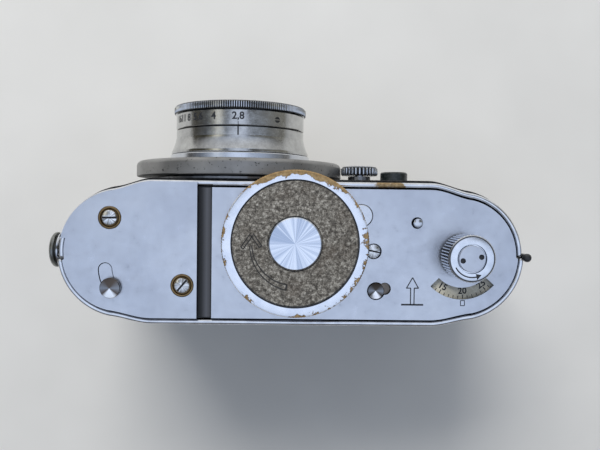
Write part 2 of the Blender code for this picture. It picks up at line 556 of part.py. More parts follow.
# ---- base ------------------------------------------------------------------------------
def make_base():
    inset = WALL + PLATE_INSET
    outline = full_outline(inset)
    plate = prism("base_plate", clip_outline(outline, PLATE_EDGE_X, 99), PLATE_UNDER, PLATE_Z,
                  "satin_chrome")
    low, high = PLATE_UNDER - 1, PLATE_Z + 1
    holes = ((KNOB_X, KNOB_Y, ARBOR_RADIUS + GAP, SMALL), (PIN_X, PIN_Y, PIN_BUTTON + GAP, TINY),
             (REWIND_X, REWIND_Y, SHAFT_RADIUS + 1.4 + GAP, SMALL), (STOP_X, STOP_Y, 2.2, SMALL),
             (STOP_X + 2.2, STOP_Y + 0.6, 1.5, TINY), (BASE_SCREW_X, BASE_SCREW_Y, 1.8 + GAP / 2, SMALL),
             (COVER_DISC_X, COVER_DISC_Y, 2.75 + GAP / 2, SMALL))
    for x, y, radius, count in holes:
        cut_prism(plate, circle(x, y, radius, count), low, high)
    window = (arc(REWIND_X, REWIND_Y, WINDOW_INNER, -135, -45, 13)
              + arc(REWIND_X, REWIND_Y, WINDOW_OUTER, -45, -135, 17))
    cut_prism(plate, window, low, high)

    cover = prism("left_cover", clip_outline(outline, -99, COVER_EDGE_X), PLATE_UNDER, COVER_Z,
                  "satin_chrome")
    for x, y in COVER_SCREWS:
        cut_prism(cover, circle(x, y, 2.8 + GAP / 2, SMALL), COVER_Z - 0.9, COVER_Z + 1)
        cut_prism(cover, circle(x, y, 0.8 + GAP, TINY), PLATE_UNDER - 1, COVER_Z + 1)
    radius = math.dist((SLIDER_X, SLIDER_Y), (SLIDER_PIVOT_X, SLIDER_PIVOT_Y))
    start = math.degrees(math.atan2(SLIDER_Y - SLIDER_PIVOT_Y, SLIDER_X - SLIDER_PIVOT_X)) + 360
    end = start - SLIDER_SWING
    half = 1.8
    here = (SLIDER_PIVOT_X, SLIDER_PIVOT_Y)
    slot = arc(*here, radius + half, end, start, 9)
    centre = arc(*here, radius, start, end, 2)
    slot += arc(*centre[0], half, start, start + 180, 9)[1:-1]
    slot += arc(*here, radius - half, start, end, 9)
    slot += arc(*centre[1], half, end + 180, end + 360, 9)[1:-1]
    cut_prism(cover, slot, PLATE_UNDER - 1, COVER_Z + 1)

    for letter, (x, y) in zip("ab", COVER_SCREWS):
        seat = COVER_Z - 0.9 + GAP
        turned("cup_washer_" + letter, [(0.8 + GAP, seat), (2.8, seat), (2.8, seat + 0.7),
                                        (2.1, seat + 0.8), (2.1, seat + 0.35), (0.8 + GAP, seat + 0.35)],
               "brass", (x, y, seat), SMALL)
        slotted_screw("cover_screw_" + letter, x, y, seat + 0.35 + GAP, 1.85, 0.55, CHASSIS_DECK + 0.2)
    slotted_screw("base_screw", BASE_SCREW_X, BASE_SCREW_Y, CHASSIS_TOP + GAP, 1.75, 0.9,
                  CHASSIS_DECK + 0.2)
    turned("cover_disc", [(0, CHASSIS_TOP - 0.3), (2.75, CHASSIS_TOP - 0.3), (2.75, PLATE_Z + 0.1),
                          (2.4, PLATE_Z + 0.3), (0, PLATE_Z + 0.3)],
           "bright_chrome", (COVER_DISC_X, COVER_DISC_Y, CHASSIS_TOP), SMALL)

    # Arm and button of the left slider, swinging about a pivot in the chassis.
    arm_low = CHASSIS_TOP - 1.4 + GAP
    arm_high = CHASSIS_TOP - 0.2
    slider = prism("slider", circle(*here, 2.0, 20), arm_low, arm_high, "bright_chrome", (*here, 0))
    across = (-(SLIDER_Y - SLIDER_PIVOT_Y) / radius * 1.2, (SLIDER_X - SLIDER_PIVOT_X) / radius * 1.2)
    arm = [(here[0] + across[0], here[1] + across[1]), (SLIDER_X + across[0], SLIDER_Y + across[1]),
           (SLIDER_X - across[0], SLIDER_Y - across[1]), (here[0] - across[0], here[1] - across[1])]
    combine(slider, prism_mesh(arm, arm_low, arm_high), "UNION")
    combine(slider, cylinder_mesh((SLIDER_X, SLIDER_Y), 1.5, arm_low, COVER_Z + GAP + 0.2, count=24),
            "UNION")
    combine(slider, cylinder_mesh((SLIDER_X, SLIDER_Y), 2.55, COVER_Z + GAP, COVER_Z + 1.6, count=28),
            "UNION")

    top = PLATE_Z + 1.5
    turned("motor_stop", [(0, CHASSIS_DECK + 0.4), (1.0, CHASSIS_DECK + 0.4), (1.0, PLATE_UNDER + GAP),
                          (1.9, PLATE_UNDER + GAP), (1.9, PLATE_Z + 0.2), (1.1, top), (0, top)],
           "bright_chrome", (STOP_X, STOP_Y, CHASSIS_DECK), SMALL)
    turned("rewind_pin", [(0, CHASSIS_DECK + 0.8), (PIN_BUTTON, CHASSIS_DECK + 0.8),
                          (PIN_BUTTON, PLATE_Z + 1.2), (PIN_BUTTON - 0.35, PLATE_Z + 1.6),
                          (0, PLATE_Z + 1.6)],
           "bright_chrome", (PIN_X, PIN_Y, CHASSIS_DECK), TINY)


def slotted_screw(name, x, y, seat, radius, head, tip):
    screw = turned(name, [(0, tip), (0.8, tip), (0.8, seat), (radius, seat), (radius, seat + head),
                          (0, seat + head)], "bright_chrome", (x, y, seat), TINY)
    combine(screw, box_mesh(x - radius - 1, x + radius + 1, y - 0.3, y + 0.3, seat + head - 0.4,
                            seat + head + 1))


def make_knob():
    top = KNOB_TOP
    turned("winding_knob",
           [(ARBOR_RADIUS + GAP, KNOB_Z), (KNOB_RADIUS - 0.6, KNOB_Z), (KNOB_RADIUS, KNOB_Z + 0.6),
            (KNOB_RADIUS, top - 0.9), (KNOB_RADIUS - 0.7, top), (DISC_RADIUS + GAP, top),
            (DISC_RADIUS + GAP, top - 1.2), (ARBOR_RADIUS + GAP, top - 1.2)],
           "bright_chrome", (KNOB_X, KNOB_Y, KNOB_Z), FINE)
    seat = top - 1.2 + GAP
    turned("knob_grip_disc", [(ARBOR_RADIUS + GAP, seat), (DISC_RADIUS, seat), (DISC_RADIUS, top - 0.2),
                              (CAP_RADIUS + GAP, top - 0.2), (CAP_RADIUS + GAP, top - 0.7),
                              (ARBOR_RADIUS + GAP, top - 0.7)],
           "grip_disc", (KNOB_X, KNOB_Y, seat), FINE)
    floor = CHASSIS_DECK - GAP - 6.6
    turned("winding_arbor", [(0, floor - 0.6), (ARBOR_RADIUS, floor - 0.6), (ARBOR_RADIUS, top - 0.7),
                             (0, top - 0.7)], "steel", (KNOB_X, KNOB_Y, floor), SMALL)
    turned("knob_cap", [(0, top - 0.7 + GAP), (CAP_RADIUS, top - 0.7 + GAP), (CAP_RADIUS, top - 0.05),
                        (CAP_RADIUS - 0.3, top + 0.1), (0, top + 0.2)],
           "bright_chrome", (KNOB_X, KNOB_Y, top), ROUND)


def make_rewind():
    low = PLATE_Z + 0.6
    top = low + REWIND_HEIGHT
    place = (REWIND_X, REWIND_Y, low)
    turned("rewind_knob", [(SHAFT_RADIUS + GAP, low), (3.6, low), (3.6, low + 0.8),
                           (REWIND_RADIUS, low + 1.2), (REWIND_RADIUS, top - 0.7),
                           (REWIND_RADIUS - 0.5, top), (3.2 + GAP, top), (3.2 + GAP, top - 1.0),
                           (SHAFT_RADIUS + GAP, top - 1.0)], "bright_chrome", place, ROUND)
    insert = turned("rewind_insert", [(0, top - 1.0 + GAP), (3.2, top - 1.0 + GAP), (3.2, top + 0.05),
                                      (0, top + 0.05)], "satin_chrome", place, SMALL)
    for side in (-1, 1):
        cut_prism(insert, circle(REWIND_X + 2.25 * side * math.cos(math.radians(35)),
                                 REWIND_Y + 2.25 * side * math.sin(math.radians(35)), 0.65, 12),
                  top - 0.35, top + 1)
    fork = CASSETTE_HIGH - 4.0
    shaft = turned("rewind_shaft", [(0, fork), (SHAFT_RADIUS, fork), (SHAFT_RADIUS, top - 1.3),
                                    (0, top - 1.3)], "steel", place, TINY)
    combine(shaft, box_mesh(REWIND_X - 0.5, REWIND_X + 0.5, REWIND_Y - 3, REWIND_Y + 3, fork - 1,
                            fork + 3))
    turned("rewind_bush", [(SHAFT_RADIUS + GAP, CHASSIS_DECK - 3.0), (SHAFT_RADIUS + 1.4, CHASSIS_DECK - 3.0),
                           (SHAFT_RADIUS + 1.4, low - GAP), (SHAFT_RADIUS + GAP, low - GAP)],
           "brass", (REWIND_X, REWIND_Y, CHASSIS_TOP), SMALL)
    face = PLATE_UNDER - GAP
    turned("counter_dial", [(SHAFT_RADIUS + 1.4 + GAP, face - 0.6), (DIAL_RADIUS, face - 0.6),
                            (DIAL_RADIUS, face), (SHAFT_RADIUS + 1.4 + GAP, face)],
           "dial_white", (REWIND_X, REWIND_Y, face), FINE)


# ---- lens ------------------------------------------------------------------------------


def lens_piece(name, profile, finish, segments=40):
    return turned(name, profile, finish, LENS_PLACE, segments, True)


def make_lens():
    bore = LENS_BORE
    lens_piece("lens_mount", [(bore, MOUNT_START), (MOUNT_RADIUS, MOUNT_START),
                              (MOUNT_RADIUS, RING_START - GAP), (bore, RING_START - GAP)], "steel")
    lens_piece("lens_flange", [(bore, RING_START), (FLANGE_RADIUS, RING_START),
                               (FLANGE_RADIUS, FLANGE_FRONT - 1.2), (FLANGE_RADIUS - 0.35, FLANGE_FRONT - 0.35),
                               (FLANGE_RADIUS - 1.2, FLANGE_FRONT), (bore, FLANGE_FRONT)],
               "flange_grey", FINE)
    ring = FLANGE_FRONT + GAP
    lens_piece("lens_ring", [(bore, ring), (BARREL_RADIUS + 0.35, ring),
                             (BARREL_RADIUS + 0.35, ring + 0.9), (bore, ring + 0.9)], "bright_chrome")
    flare = []
    steps = 4
    for i in range(steps + 1):
        t = i / steps
        flare.append((BARREL_NECK + (BARREL_RADIUS - BARREL_NECK) * (1 - t)**2,
                      BARREL_START + 0.6 + (APERTURE_START - GAP - BARREL_START - 0.6) * t))
    lens_piece("focus_barrel", [(bore, BARREL_START), (BARREL_RADIUS, BARREL_START)] + flare
               + [(bore, APERTURE_START - GAP)], "lens_steel", ROUND + 8)
    lens_piece("aperture_ring", [(bore, APERTURE_START), (APERTURE_RADIUS, APERTURE_START),
                                 (APERTURE_RADIUS, FRONT_START - GAP), (bore, FRONT_START - GAP)],
               "lens_steel", ROUND + 8)
    lens_piece("lens_front_ring", [(bore, FRONT_START), (FRONT_RING_RADIUS - 0.3, FRONT_START),
                                   (FRONT_RING_RADIUS, FRONT_START + 0.3),
                                   (FRONT_RING_RADIUS, FRONT_END - 0.3),
                                   (FRONT_RING_RADIUS - 0.3, FRONT_END), (bore, FRONT_END)],
               "bright_chrome", ROUND + 8)
    tube_end = FRONT_START - 1.0
    chamber = BARREL_START + 0.5
    tube = TUBE_RADIUS
    lens_piece("lens_tube", [(9.0, INNER_FRONT + 0.4), (tube, INNER_FRONT + 0.4), (tube, tube_end),
                             (10.6, tube_end), (10.6, chamber + 5.4), (CHAMBER_RADIUS + 0.6, chamber + 5.4),
                             (CHAMBER_RADIUS + 0.6, chamber), (9.0, chamber)], "black_paint")
    lens_piece("lens_bezel", [(10.6, tube_end + GAP), (tube, tube_end + GAP), (tube, FRONT_END - 0.2),
                              (14.8, FRONT_END - 0.2), (10.6, tube_end + GAP + 0.8)], "black_paint", ROUND)
    glass = tube_end - 2.6
    lens_piece("front_glass", [(0, glass - 0.4), (10.3, glass + 0.6), (10.3, glass + 1.6),
                               (7.5, glass + 2.7), (4.0, glass + 3.3), (0, glass + 3.5)], "glass", SMALL)
    rear = INNER_FRONT + 1.2
    lens_piece("rear_glass", [(0, rear - 0.9), (4.0, rear - 0.6), (8.7, rear + 0.6), (8.7, rear + 2.4),
                              (0, rear + 2.4)], "glass", SMALL)


def make_front_fittings():
    hub_start = MOUNT_START
    place = (DIAL_POST_X, FRONT_Y, FRONT_PARTS_Z)
    turned("speed_hub", [(1.2 + GAP, hub_start), (3.2, hub_start), (3.2, hub_start + 2.1),
                         (1.2 + GAP, hub_start + 2.1)], "steel", place, SMALL, True)
    dial = hub_start + 2.1 + GAP
    turned("speed_dial", [(0, INNER_FRONT - 0.8), (1.2, INNER_FRONT - 0.8), (1.2, dial),
                          (5.25, dial), (5.25, dial + 2.3), (4.6, dial + 2.6), (0, dial + 2.6)],
           "bright_chrome", place, SMALL + 4, True)
    place = (SOCKET_X, FRONT_Y, FRONT_PARTS_Z)
    turned("sync_socket", [(0, hub_start), (3.875, hub_start), (3.875, hub_start + 3.5),
                           (2.3, hub_start + 3.5), (2.3, hub_start + 0.8), (0, hub_start + 0.8)],
           "black_paint", place, SMALL, True)
    turned("sync_contact", [(0, hub_start + 0.8 + GAP), (0.7, hub_start + 0.8 + GAP),
                            (0.7, hub_start + 3.0), (0, hub_start + 3.2)], "brass", place, 12, True)


make_shells()
make_latch()
make_top_housing()
make_top_fittings()
make_chassis()
make_film_path()
make_motor()
make_base()
make_knob()
make_rewind()
make_lens()
make_front_fittings()
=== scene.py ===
"""Finishes for the spring-motor film camera: every outer piece is modelled again in detail
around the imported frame, and the works inside keep their frame solids with real materials."""
import json
import math

import bpy
from mathutils import Matrix, Vector


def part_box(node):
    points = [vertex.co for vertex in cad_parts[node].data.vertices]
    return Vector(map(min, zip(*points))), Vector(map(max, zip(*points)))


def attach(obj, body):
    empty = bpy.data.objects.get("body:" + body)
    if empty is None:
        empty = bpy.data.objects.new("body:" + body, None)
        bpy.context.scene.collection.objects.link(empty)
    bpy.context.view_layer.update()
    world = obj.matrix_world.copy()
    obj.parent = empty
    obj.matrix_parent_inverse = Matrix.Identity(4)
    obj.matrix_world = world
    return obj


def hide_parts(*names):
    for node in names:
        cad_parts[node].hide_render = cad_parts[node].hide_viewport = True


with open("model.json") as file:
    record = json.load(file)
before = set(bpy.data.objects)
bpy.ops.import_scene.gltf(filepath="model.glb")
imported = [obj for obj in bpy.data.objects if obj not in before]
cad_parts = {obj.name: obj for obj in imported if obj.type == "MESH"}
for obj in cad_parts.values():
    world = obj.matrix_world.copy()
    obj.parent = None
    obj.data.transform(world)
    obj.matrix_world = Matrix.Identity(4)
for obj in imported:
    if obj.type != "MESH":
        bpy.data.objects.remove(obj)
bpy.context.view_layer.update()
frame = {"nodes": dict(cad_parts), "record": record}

MM = 0.001
TINY = 1e-6


def span(node, axis):
    """Lowest and highest place of a frame node along one axis, in millimetres."""
    low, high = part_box(node)
    return low[axis] / MM, high[axis] / MM


def centre(node):
    low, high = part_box(node)
    return [(a + b) / 2 / MM for a, b in zip(low, high)]


X_AXIS, Y_AXIS, Z_AXIS = 0, 1, 2

# ---- places read from the frame ----------------------------------------------------------
PLATE_LOW, PLATE_Z = span("base_plate", Z_AXIS)
COVER_Z = span("left_cover", Z_AXIS)[1]
RIM_Z = span("front_shell", Z_AXIS)[1]
SHELL_Z = span("front_shell", Z_AXIS)[0]
FRONT_Y = span("front_shell", Y_AXIS)[1]
BACK_Y = -span("back_door", Y_AXIS)[0]
KNOB = centre("winding_knob")
KNOB_LOW, KNOB_TOP = span("winding_knob", Z_AXIS)
REWIND = centre("rewind_knob")
LENS = centre("lens_flange")
END_X = REWIND[0] - 0.65
END_RADIUS = 16.1
BACK_STEP = 0.5
WALL = 1.3
INSET = WALL + 0.45
SEAM_RIGHT, SEAM_LEFT = -0.7, -2.2


# ---- materials -----------------------------------------------------------------------------
def colour(code):
    """sRGB hex code to the linear colour that Blender's sockets take."""
    parts = [int(code[i:i + 2], 16) / 255 for i in (0, 2, 4)]
    return tuple(p / 12.92 if p <= 0.04045 else ((p + 0.055) / 1.055)**2.4 for p in parts) + (1.0,)


def node(tree, kind, settings=None, links=None):
    """Adds one node; settings go to its properties or sockets, links to its sockets."""
    made = tree.nodes.new(kind)
    for key, value in (settings or {}).items():
        if isinstance(key, str) and hasattr(made, key) and key not in made.inputs:
            setattr(made, key, value)
        else:
            made.inputs[key].default_value = value
    for key, source in (links or {}).items():
        tree.links.new(source, made.inputs[key])
    return made


def new_material(name, base, metallic, roughness, **sockets):
    made = bpy.data.materials.new(name)
    made.use_nodes = True
    shader = made.node_tree.nodes["Principled BSDF"]
    shader.inputs["Base Color"].default_value = colour(base)
    shader.inputs["Metallic"].default_value = metallic
    shader.inputs["Roughness"].default_value = roughness
    for key, value in sockets.items():
        shader.inputs[key.replace("_", " ")].default_value = value
    return made, made.node_tree, shader


def ramp(tree, factor, stops):
    """Colour ramp from (position, hex) stops."""
    made = node(tree, "ShaderNodeValToRGB", links={"Fac": factor})
    bar = made.color_ramp
    while len(bar.elements) < len(stops):
        bar.elements.new(0.5)
    for element, (place, code) in zip(bar.elements, stops):
        element.position = place
        element.color = colour(code)
    return made.outputs["Color"]


def coordinates(tree, at=(0, 0, 0), turn=(0, 0, 0)):
    """Object coordinates measured from a point of the object, given in millimetres."""
    source = node(tree, "ShaderNodeTexCoord").outputs["Object"]
    return node(tree, "ShaderNodeMapping", {"vector_type": "TEXTURE", "Location": [v * MM for v in at],
                                            "Rotation": [math.radians(v) for v in turn]},
                {"Vector": source}).outputs["Vector"]


def noise(tree, vector, size_mm, detail=4.0, rough=0.55):
    return node(tree, "ShaderNodeTexNoise", {"Scale": 1 / (size_mm * MM), "Detail": detail,
                                             "Roughness": rough}, {"Vector": vector}).outputs["Fac"]


def remap(tree, value, low, high, to_low, to_high):
    return node(tree, "ShaderNodeMapRange", {"From Min": low, "From Max": high, "To Min": to_low,
                                             "To Max": to_high}, {"Value": value}).outputs["Result"]


def maths(tree, kind, first, second):
    made = node(tree, "ShaderNodeMath", {"operation": kind})
    for i, value in enumerate((first, second)):
        if isinstance(value, (int, float)):
            made.inputs[i].default_value = value
        else:
            tree.links.new(value, made.inputs[i])
    return made.outputs[0]


def blend_colours(tree, factor, first, second):
    made = node(tree, "ShaderNodeMix", {"data_type": "RGBA"})
    tree.links.new(factor, made.inputs[0])
    for socket, value in ((6, first), (7, second)):
        if isinstance(value, str):
            made.inputs[socket].default_value = colour(value)
        else:
            tree.links.new(value, made.inputs[socket])
    return made.outputs[2]


def bump(tree, shader, height, depth_mm, strength=1.0):
    made = node(tree, "ShaderNodeBump", {"Strength": strength, "Distance": depth_mm * MM},
                {"Height": height})
    tree.links.new(made.outputs["Normal"], shader.inputs["Normal"])


def satin_chrome():
    """Satin chrome on pressed brass: even blue-grey sheen, faint clouding and hairline rubs."""
    made, tree, shader = new_material("satin_chrome_plate", "d2d6de", 1.0, 0.34)
    place = coordinates(tree)
    clouds = noise(tree, place, 16.0, 3.0)
    grime = noise(tree, place, 2.2, 6.0, 0.7)
    tone = ramp(tree, clouds, [(0.3, "c6cad3"), (0.5, "d1d5dd"), (0.75, "dadde3")])
    spots = remap(tree, grime, 0.62, 0.78, 0.0, 0.35)
    tree.links.new(blend_colours(tree, spots, tone, "9aa1ad"), shader.inputs["Base Color"])
    tree.links.new(remap(tree, grime, 0.3, 0.8, 0.27, 0.42), shader.inputs["Roughness"])
    stretched = node(tree, "ShaderNodeMapping", {"Scale": (0.12, 1.0, 1.0)},
                     {"Vector": place}).outputs["Vector"]
    bump(tree, shader, noise(tree, stretched, 0.35, 2.0), 0.006, 0.5)
    return made


def bright_chrome(name="bright_chrome_plate", rough=0.14):
    """Polished chrome: mirror-bright, with a haze of fine rubbing."""
    made, tree, shader = new_material(name, "d8dbe0", 1.0, rough)
    place = coordinates(tree)
    haze = noise(tree, place, 1.6, 5.0, 0.65)
    tree.links.new(remap(tree, haze, 0.3, 0.8, rough * 0.7, rough * 1.9), shader.inputs["Roughness"])
    tree.links.new(ramp(tree, haze, [(0.25, "c9ccd2"), (0.8, "e2e5ea")]), shader.inputs["Base Color"])
    bump(tree, shader, noise(tree, place, 0.5, 3.0), 0.004, 0.4)
    return made


def worn_rim():
    """Bright chrome, rubbed through to brass on the front rim beside the speed dial."""
    made, tree, shader = new_material("worn_chrome_rim", "e2e4e8", 1.0, 0.16)
    place = coordinates(tree)
    parts = node(tree, "ShaderNodeSeparateXYZ", links={"Vector": place})
    patches = noise(tree, place, 3.0, 5.0, 0.7)
    along = maths(tree, "MULTIPLY", remap(tree, parts.outputs["X"], 18.0 * MM, 21.5 * MM, 0.0, 1.0),
                  remap(tree, parts.outputs["X"], 27.5 * MM, 31.0 * MM, 1.0, 0.0))
    front = remap(tree, parts.outputs["Y"], 16.0 * MM, 16.6 * MM, 0.0, 1.0)
    rubbed = maths(tree, "MULTIPLY", maths(tree, "MULTIPLY", along, front), 0.4)
    worn = remap(tree, maths(tree, "ADD", patches, rubbed), 0.74, 0.8, 0.0, 1.0)
    tone = ramp(tree, noise(tree, place, 2.5), [(0.3, "d3d5da"), (0.7, "eceef1")])
    brass = ramp(tree, noise(tree, place, 0.6), [(0.3, "8b7353"), (0.7, "c4aa80")])
    tree.links.new(blend_colours(tree, worn, tone, brass), shader.inputs["Base Color"])
    tree.links.new(remap(tree, worn, 0.0, 1.0, 0.13, 0.42), shader.inputs["Roughness"])
    bump(tree, shader, patches, 0.01, 0.2)
    return made


def radius_from(tree, place, axis="Z"):
    """Distance from a turned piece's axis, and the position split into its parts."""
    parts = node(tree, "ShaderNodeSeparateXYZ", links={"Vector": place})
    across = "Y" if axis == "Z" else "Z"
    square = maths(tree, "ADD", maths(tree, "MULTIPLY", parts.outputs["X"], parts.outputs["X"]),
                   maths(tree, "MULTIPLY", parts.outputs[across], parts.outputs[across]))
    return maths(tree, "SQRT", square, 0.0), parts


def worn_knob_chrome():
    """Chrome of the winding knob, worn to brass where fingers turn it: all along the outer
    edge, and widest on the side towards the lens."""
    made, tree, shader = new_material("worn_knob_chrome", "dfe3ea", 1.0, 0.22)
    place = coordinates(tree, KNOB)
    radius, parts = radius_from(tree, place)
    outer = (span("winding_knob", X_AXIS)[1] - KNOB[0]) * MM
    edge = remap(tree, radius, outer - 2.6 * MM, outer, 0.0, 1.0)
    towards_lens = remap(tree, parts.outputs["Y"], 0.6 * outer, outer, 0.0, 0.32)
    patches = noise(tree, place, 7.5, 6.0, 0.72)
    amount = maths(tree, "ADD", maths(tree, "MULTIPLY", edge, 0.17),
                   maths(tree, "ADD", patches, maths(tree, "MULTIPLY", towards_lens, edge)))
    worn = remap(tree, amount, 0.672, 0.69, 0.0, 1.0)
    brass = ramp(tree, noise(tree, place, 0.7), [(0.3, "8f7350"), (0.55, "b99a6c"), (0.8, "cfb388")])
    burnt = remap(tree, maths(tree, "ADD", amount, maths(tree, "MULTIPLY", noise(tree, place, 0.8), 0.05)),
                  0.70, 0.735, 1.0, 0.0)
    brass = blend_colours(tree, burnt, brass, "57402e")
    chrome = ramp(tree, noise(tree, place, 3.0), [(0.3, "e3e8f2"), (0.7, "f6f8fd")])
    tree.links.new(blend_colours(tree, worn, chrome, brass), shader.inputs["Base Color"])
    tree.links.new(remap(tree, worn, 0.0, 1.0, 0.2, 0.45), shader.inputs["Roughness"])
    tree.links.new(remap(tree, worn, 0.0, 1.0, 1.0, 0.85), shader.inputs["Metallic"])
    bump(tree, shader, maths(tree, "MULTIPLY", worn, -1.0), 0.03, 0.6)
    return made


def turned_metal(name, at, dark, light, fans=1.1, rough=0.24, highlight_wedge=None, seed=0.0):
    """Face-turned metal with painted highlights: fans of reflected light that meet at the centre are painted
    into its colour by angle, over a bump of fine rings.
    A given wedge direction, in degrees, paints one bright highlight fan on an otherwise painted dark face."""
    made, tree, shader = new_material(name, light, 1.0, rough)
    place = coordinates(tree, at)
    radius, parts = radius_from(tree, place)
    angle = maths(tree, "ARCTAN2", parts.outputs["Y"], parts.outputs["X"])
    # Sine and cosine of the angle keep the painted highlight fans unbroken all the way round.
    flat = node(tree, "ShaderNodeCombineXYZ", {"Z": seed},
                {"X": maths(tree, "COSINE", angle, 0.0), "Y": maths(tree, "SINE", angle, 0.0)})
    fan_highlight_noise = node(tree, "ShaderNodeTexNoise", {"Scale": fans, "Detail": 3.0, "Roughness": 0.6},
                  {"Vector": flat.outputs["Vector"]}).outputs["Fac"]
    # Painted highlight: the colour runs between dark and light by angle, standing in for light reflected off the
    # turned rings.
    if highlight_wedge is None:
        tone = ramp(tree, fan_highlight_noise, [(0.36, dark), (0.5, light), (0.56, dark), (0.64, light)])
    else:
        # One painted highlight fan towards the given direction; the rest of the face is painted dark, as a
        # reflection of the dark room.
        turned = maths(tree, "SUBTRACT", angle, math.radians(highlight_wedge))
        facing = maths(tree, "ADD", maths(tree, "COSINE", turned, 0.0),
                       maths(tree, "MULTIPLY", fan_highlight_noise, 0.12))
        tone = ramp(tree, remap(tree, facing, -1.0, 1.1, 0.0, 1.0),
                    [(0.1, dark), (0.5, "8a8d92"), (0.8, dark), (0.93, light)])
    tree.links.new(tone, shader.inputs["Base Color"])
    rings = node(tree, "ShaderNodeTexWave", {"wave_type": "RINGS", "rings_direction": "Z",
                                             "Scale": math.tau / (20 * 0.3 * MM), "Distortion": 0.4},
                 {"Vector": place}).outputs["Fac"]
    bump(tree, shader, rings, 0.004, 0.4)
    return made


def granular_insert():
    """Worn grained insert of the knob: dark grey-brown with pale rubbed grains and pits."""
    made, tree, shader = new_material("worn_grained_insert", "5f594f", 0.0, 0.7)
    place = coordinates(tree)
    cells = node(tree, "ShaderNodeTexVoronoi", {"Scale": 1 / (0.75 * MM), "Randomness": 1.0},
                 {"Vector": place}).outputs["Distance"]
    fine = noise(tree, place, 0.75, 5.0, 0.8)
    broad = noise(tree, place, 6.0, 4.0, 0.6)
    tone = ramp(tree, fine, [(0.34, "2a2723"), (0.45, "504c46"), (0.55, "79756d"), (0.68, "b9b6ae")])
    stain = remap(tree, broad, 0.5, 0.7, 0.0, 0.4)
    tree.links.new(blend_colours(tree, stain, tone, "4a3f34"), shader.inputs["Base Color"])
    tree.links.new(remap(tree, fine, 0.3, 0.7, 0.85, 0.45), shader.inputs["Roughness"])
    bump(tree, shader, maths(tree, "ADD", cells, fine), 0.12, 0.9)
    return made


def flange_enamel():
    """Satin grey flange: fine turned surface with dark dust specks and small chips."""
    made, tree, shader = new_material("satin_grey_flange", "939291", 0.8, 0.4)
    place = coordinates(tree)
    specks = noise(tree, place, 0.9, 4.0, 0.7)
    broad = noise(tree, place, 8.0, 3.0)
    tone = ramp(tree, broad, [(0.3, "7f7e7c"), (0.7, "9c9b99")])
    tree.links.new(blend_colours(tree, remap(tree, specks, 0.625, 0.65, 0.0, 1.0), tone, "141414"),
                   shader.inputs["Base Color"])
    bump(tree, shader, specks, 0.02, 0.35)
    return made


def lens_steel():
    """Lathe-turned lens barrel: polished, with fine rings round the axis."""
    made, tree, shader = new_material("turned_lens_barrel", "c4c4c3", 1.0, 0.17)
    place = coordinates(tree, LENS)
    stretched = node(tree, "ShaderNodeMapping", {"Scale": (0.02, 1.0, 0.02)},
                     {"Vector": place}).outputs["Vector"]
    rings = noise(tree, stretched, 0.12, 2.0)
    rubs = noise(tree, place, 2.5, 5.0, 0.7)
    tree.links.new(ramp(tree, rubs, [(0.25, "a7a7a6"), (0.7, "d2d2d0")]), shader.inputs["Base Color"])
    tree.links.new(remap(tree, rubs, 0.3, 0.75, 0.12, 0.27), shader.inputs["Roughness"])
    bump(tree, shader, rings, 0.012, 0.5)
    return made


def leatherette():
    """Black vulcanite covering: pebbled grain about a millimetre across, rubbed shinier on top."""
    made, tree, shader = new_material("black_leatherette", "121212", 0.0, 0.5)
    place = coordinates(tree)
    warp = noise(tree, place, 1.5, 2.0)
    pebbles = node(tree, "ShaderNodeTexVoronoi", {"feature": "SMOOTH_F1", "Scale": 1 / (0.85 * MM),
                                                  "Smoothness": 0.6}, {"Vector": place}).outputs["Distance"]
    tree.links.new(ramp(tree, pebbles, [(0.1, "232221"), (0.6, "0c0c0c")]), shader.inputs["Base Color"])
    tree.links.new(remap(tree, pebbles, 0.0, 0.7, 0.38, 0.72), shader.inputs["Roughness"])
    bump(tree, shader, maths(tree, "SUBTRACT", maths(tree, "MULTIPLY", warp, 0.35), pebbles), 0.16, 0.9)
    return made


def milled_metal(name, at, radius_mm, depth_mm, along="Z", base="f1f4fa"):
    """Bright milled edge, painted near-black towards the bottom of its grooves and in a narrow ring just inside
    the edge.
    """
    made, tree, shader = new_material(name, base, 1.0, 0.24)
    place = coordinates(tree, at)
    radius, _ = radius_from(tree, place, along)
    groove = remap(tree, radius, (radius_mm - depth_mm) * MM, (radius_mm - 0.25 * depth_mm) * MM, 1.0, 0.0)
    edge = maths(tree, "MULTIPLY", groove, remap(tree, radius, (radius_mm - 1.6 * depth_mm) * MM,
                                                 (radius_mm - 1.1 * depth_mm) * MM, 0.0, 1.0))
    tone = ramp(tree, noise(tree, place, 2.0), [(0.3, "dde2ea"), (0.7, base)])
    tree.links.new(blend_colours(tree, edge, tone, "24221f"), shader.inputs["Base Color"])
    tree.links.new(remap(tree, edge, 0.0, 1.0, 0.2, 0.6), shader.inputs["Roughness"])
    return made


def black_enamel(name="black_enamel", rough=0.38, base="17181a"):
    """Stove enamel on metal: semi-matt black with a slight orange-peel."""
    made, tree, shader = new_material(name, base, 0.0, rough, Coat_Weight=0.15)
    place = coordinates(tree)
    dust = noise(tree, place, 0.8, 5.0, 0.75)
    tree.links.new(ramp(tree, dust, [(0.45, base), (0.8, "3a3c3e")]), shader.inputs["Base Color"])
    tree.links.new(remap(tree, dust, 0.3, 0.8, rough * 0.8, rough * 1.4), shader.inputs["Roughness"])
    bump(tree, shader, noise(tree, place, 0.4, 2.0), 0.01, 0.3)
    return made


def plain_metal(name, dark, light, rough):
    """Machined inner metal with a faint tarnish."""
    made, tree, shader = new_material(name, light, 1.0, rough)
    place = coordinates(tree)
    tarnish = noise(tree, place, 2.0, 5.0, 0.65)
    tree.links.new(ramp(tree, tarnish, [(0.3, dark), (0.7, light)]), shader.inputs["Base Color"])
    tree.links.new(remap(tree, tarnish, 0.3, 0.8, rough * 0.8, rough * 1.5), shader.inputs["Roughness"])
    bump(tree, shader, noise(tree, place, 0.3, 2.0), 0.006, 0.4)
    return made


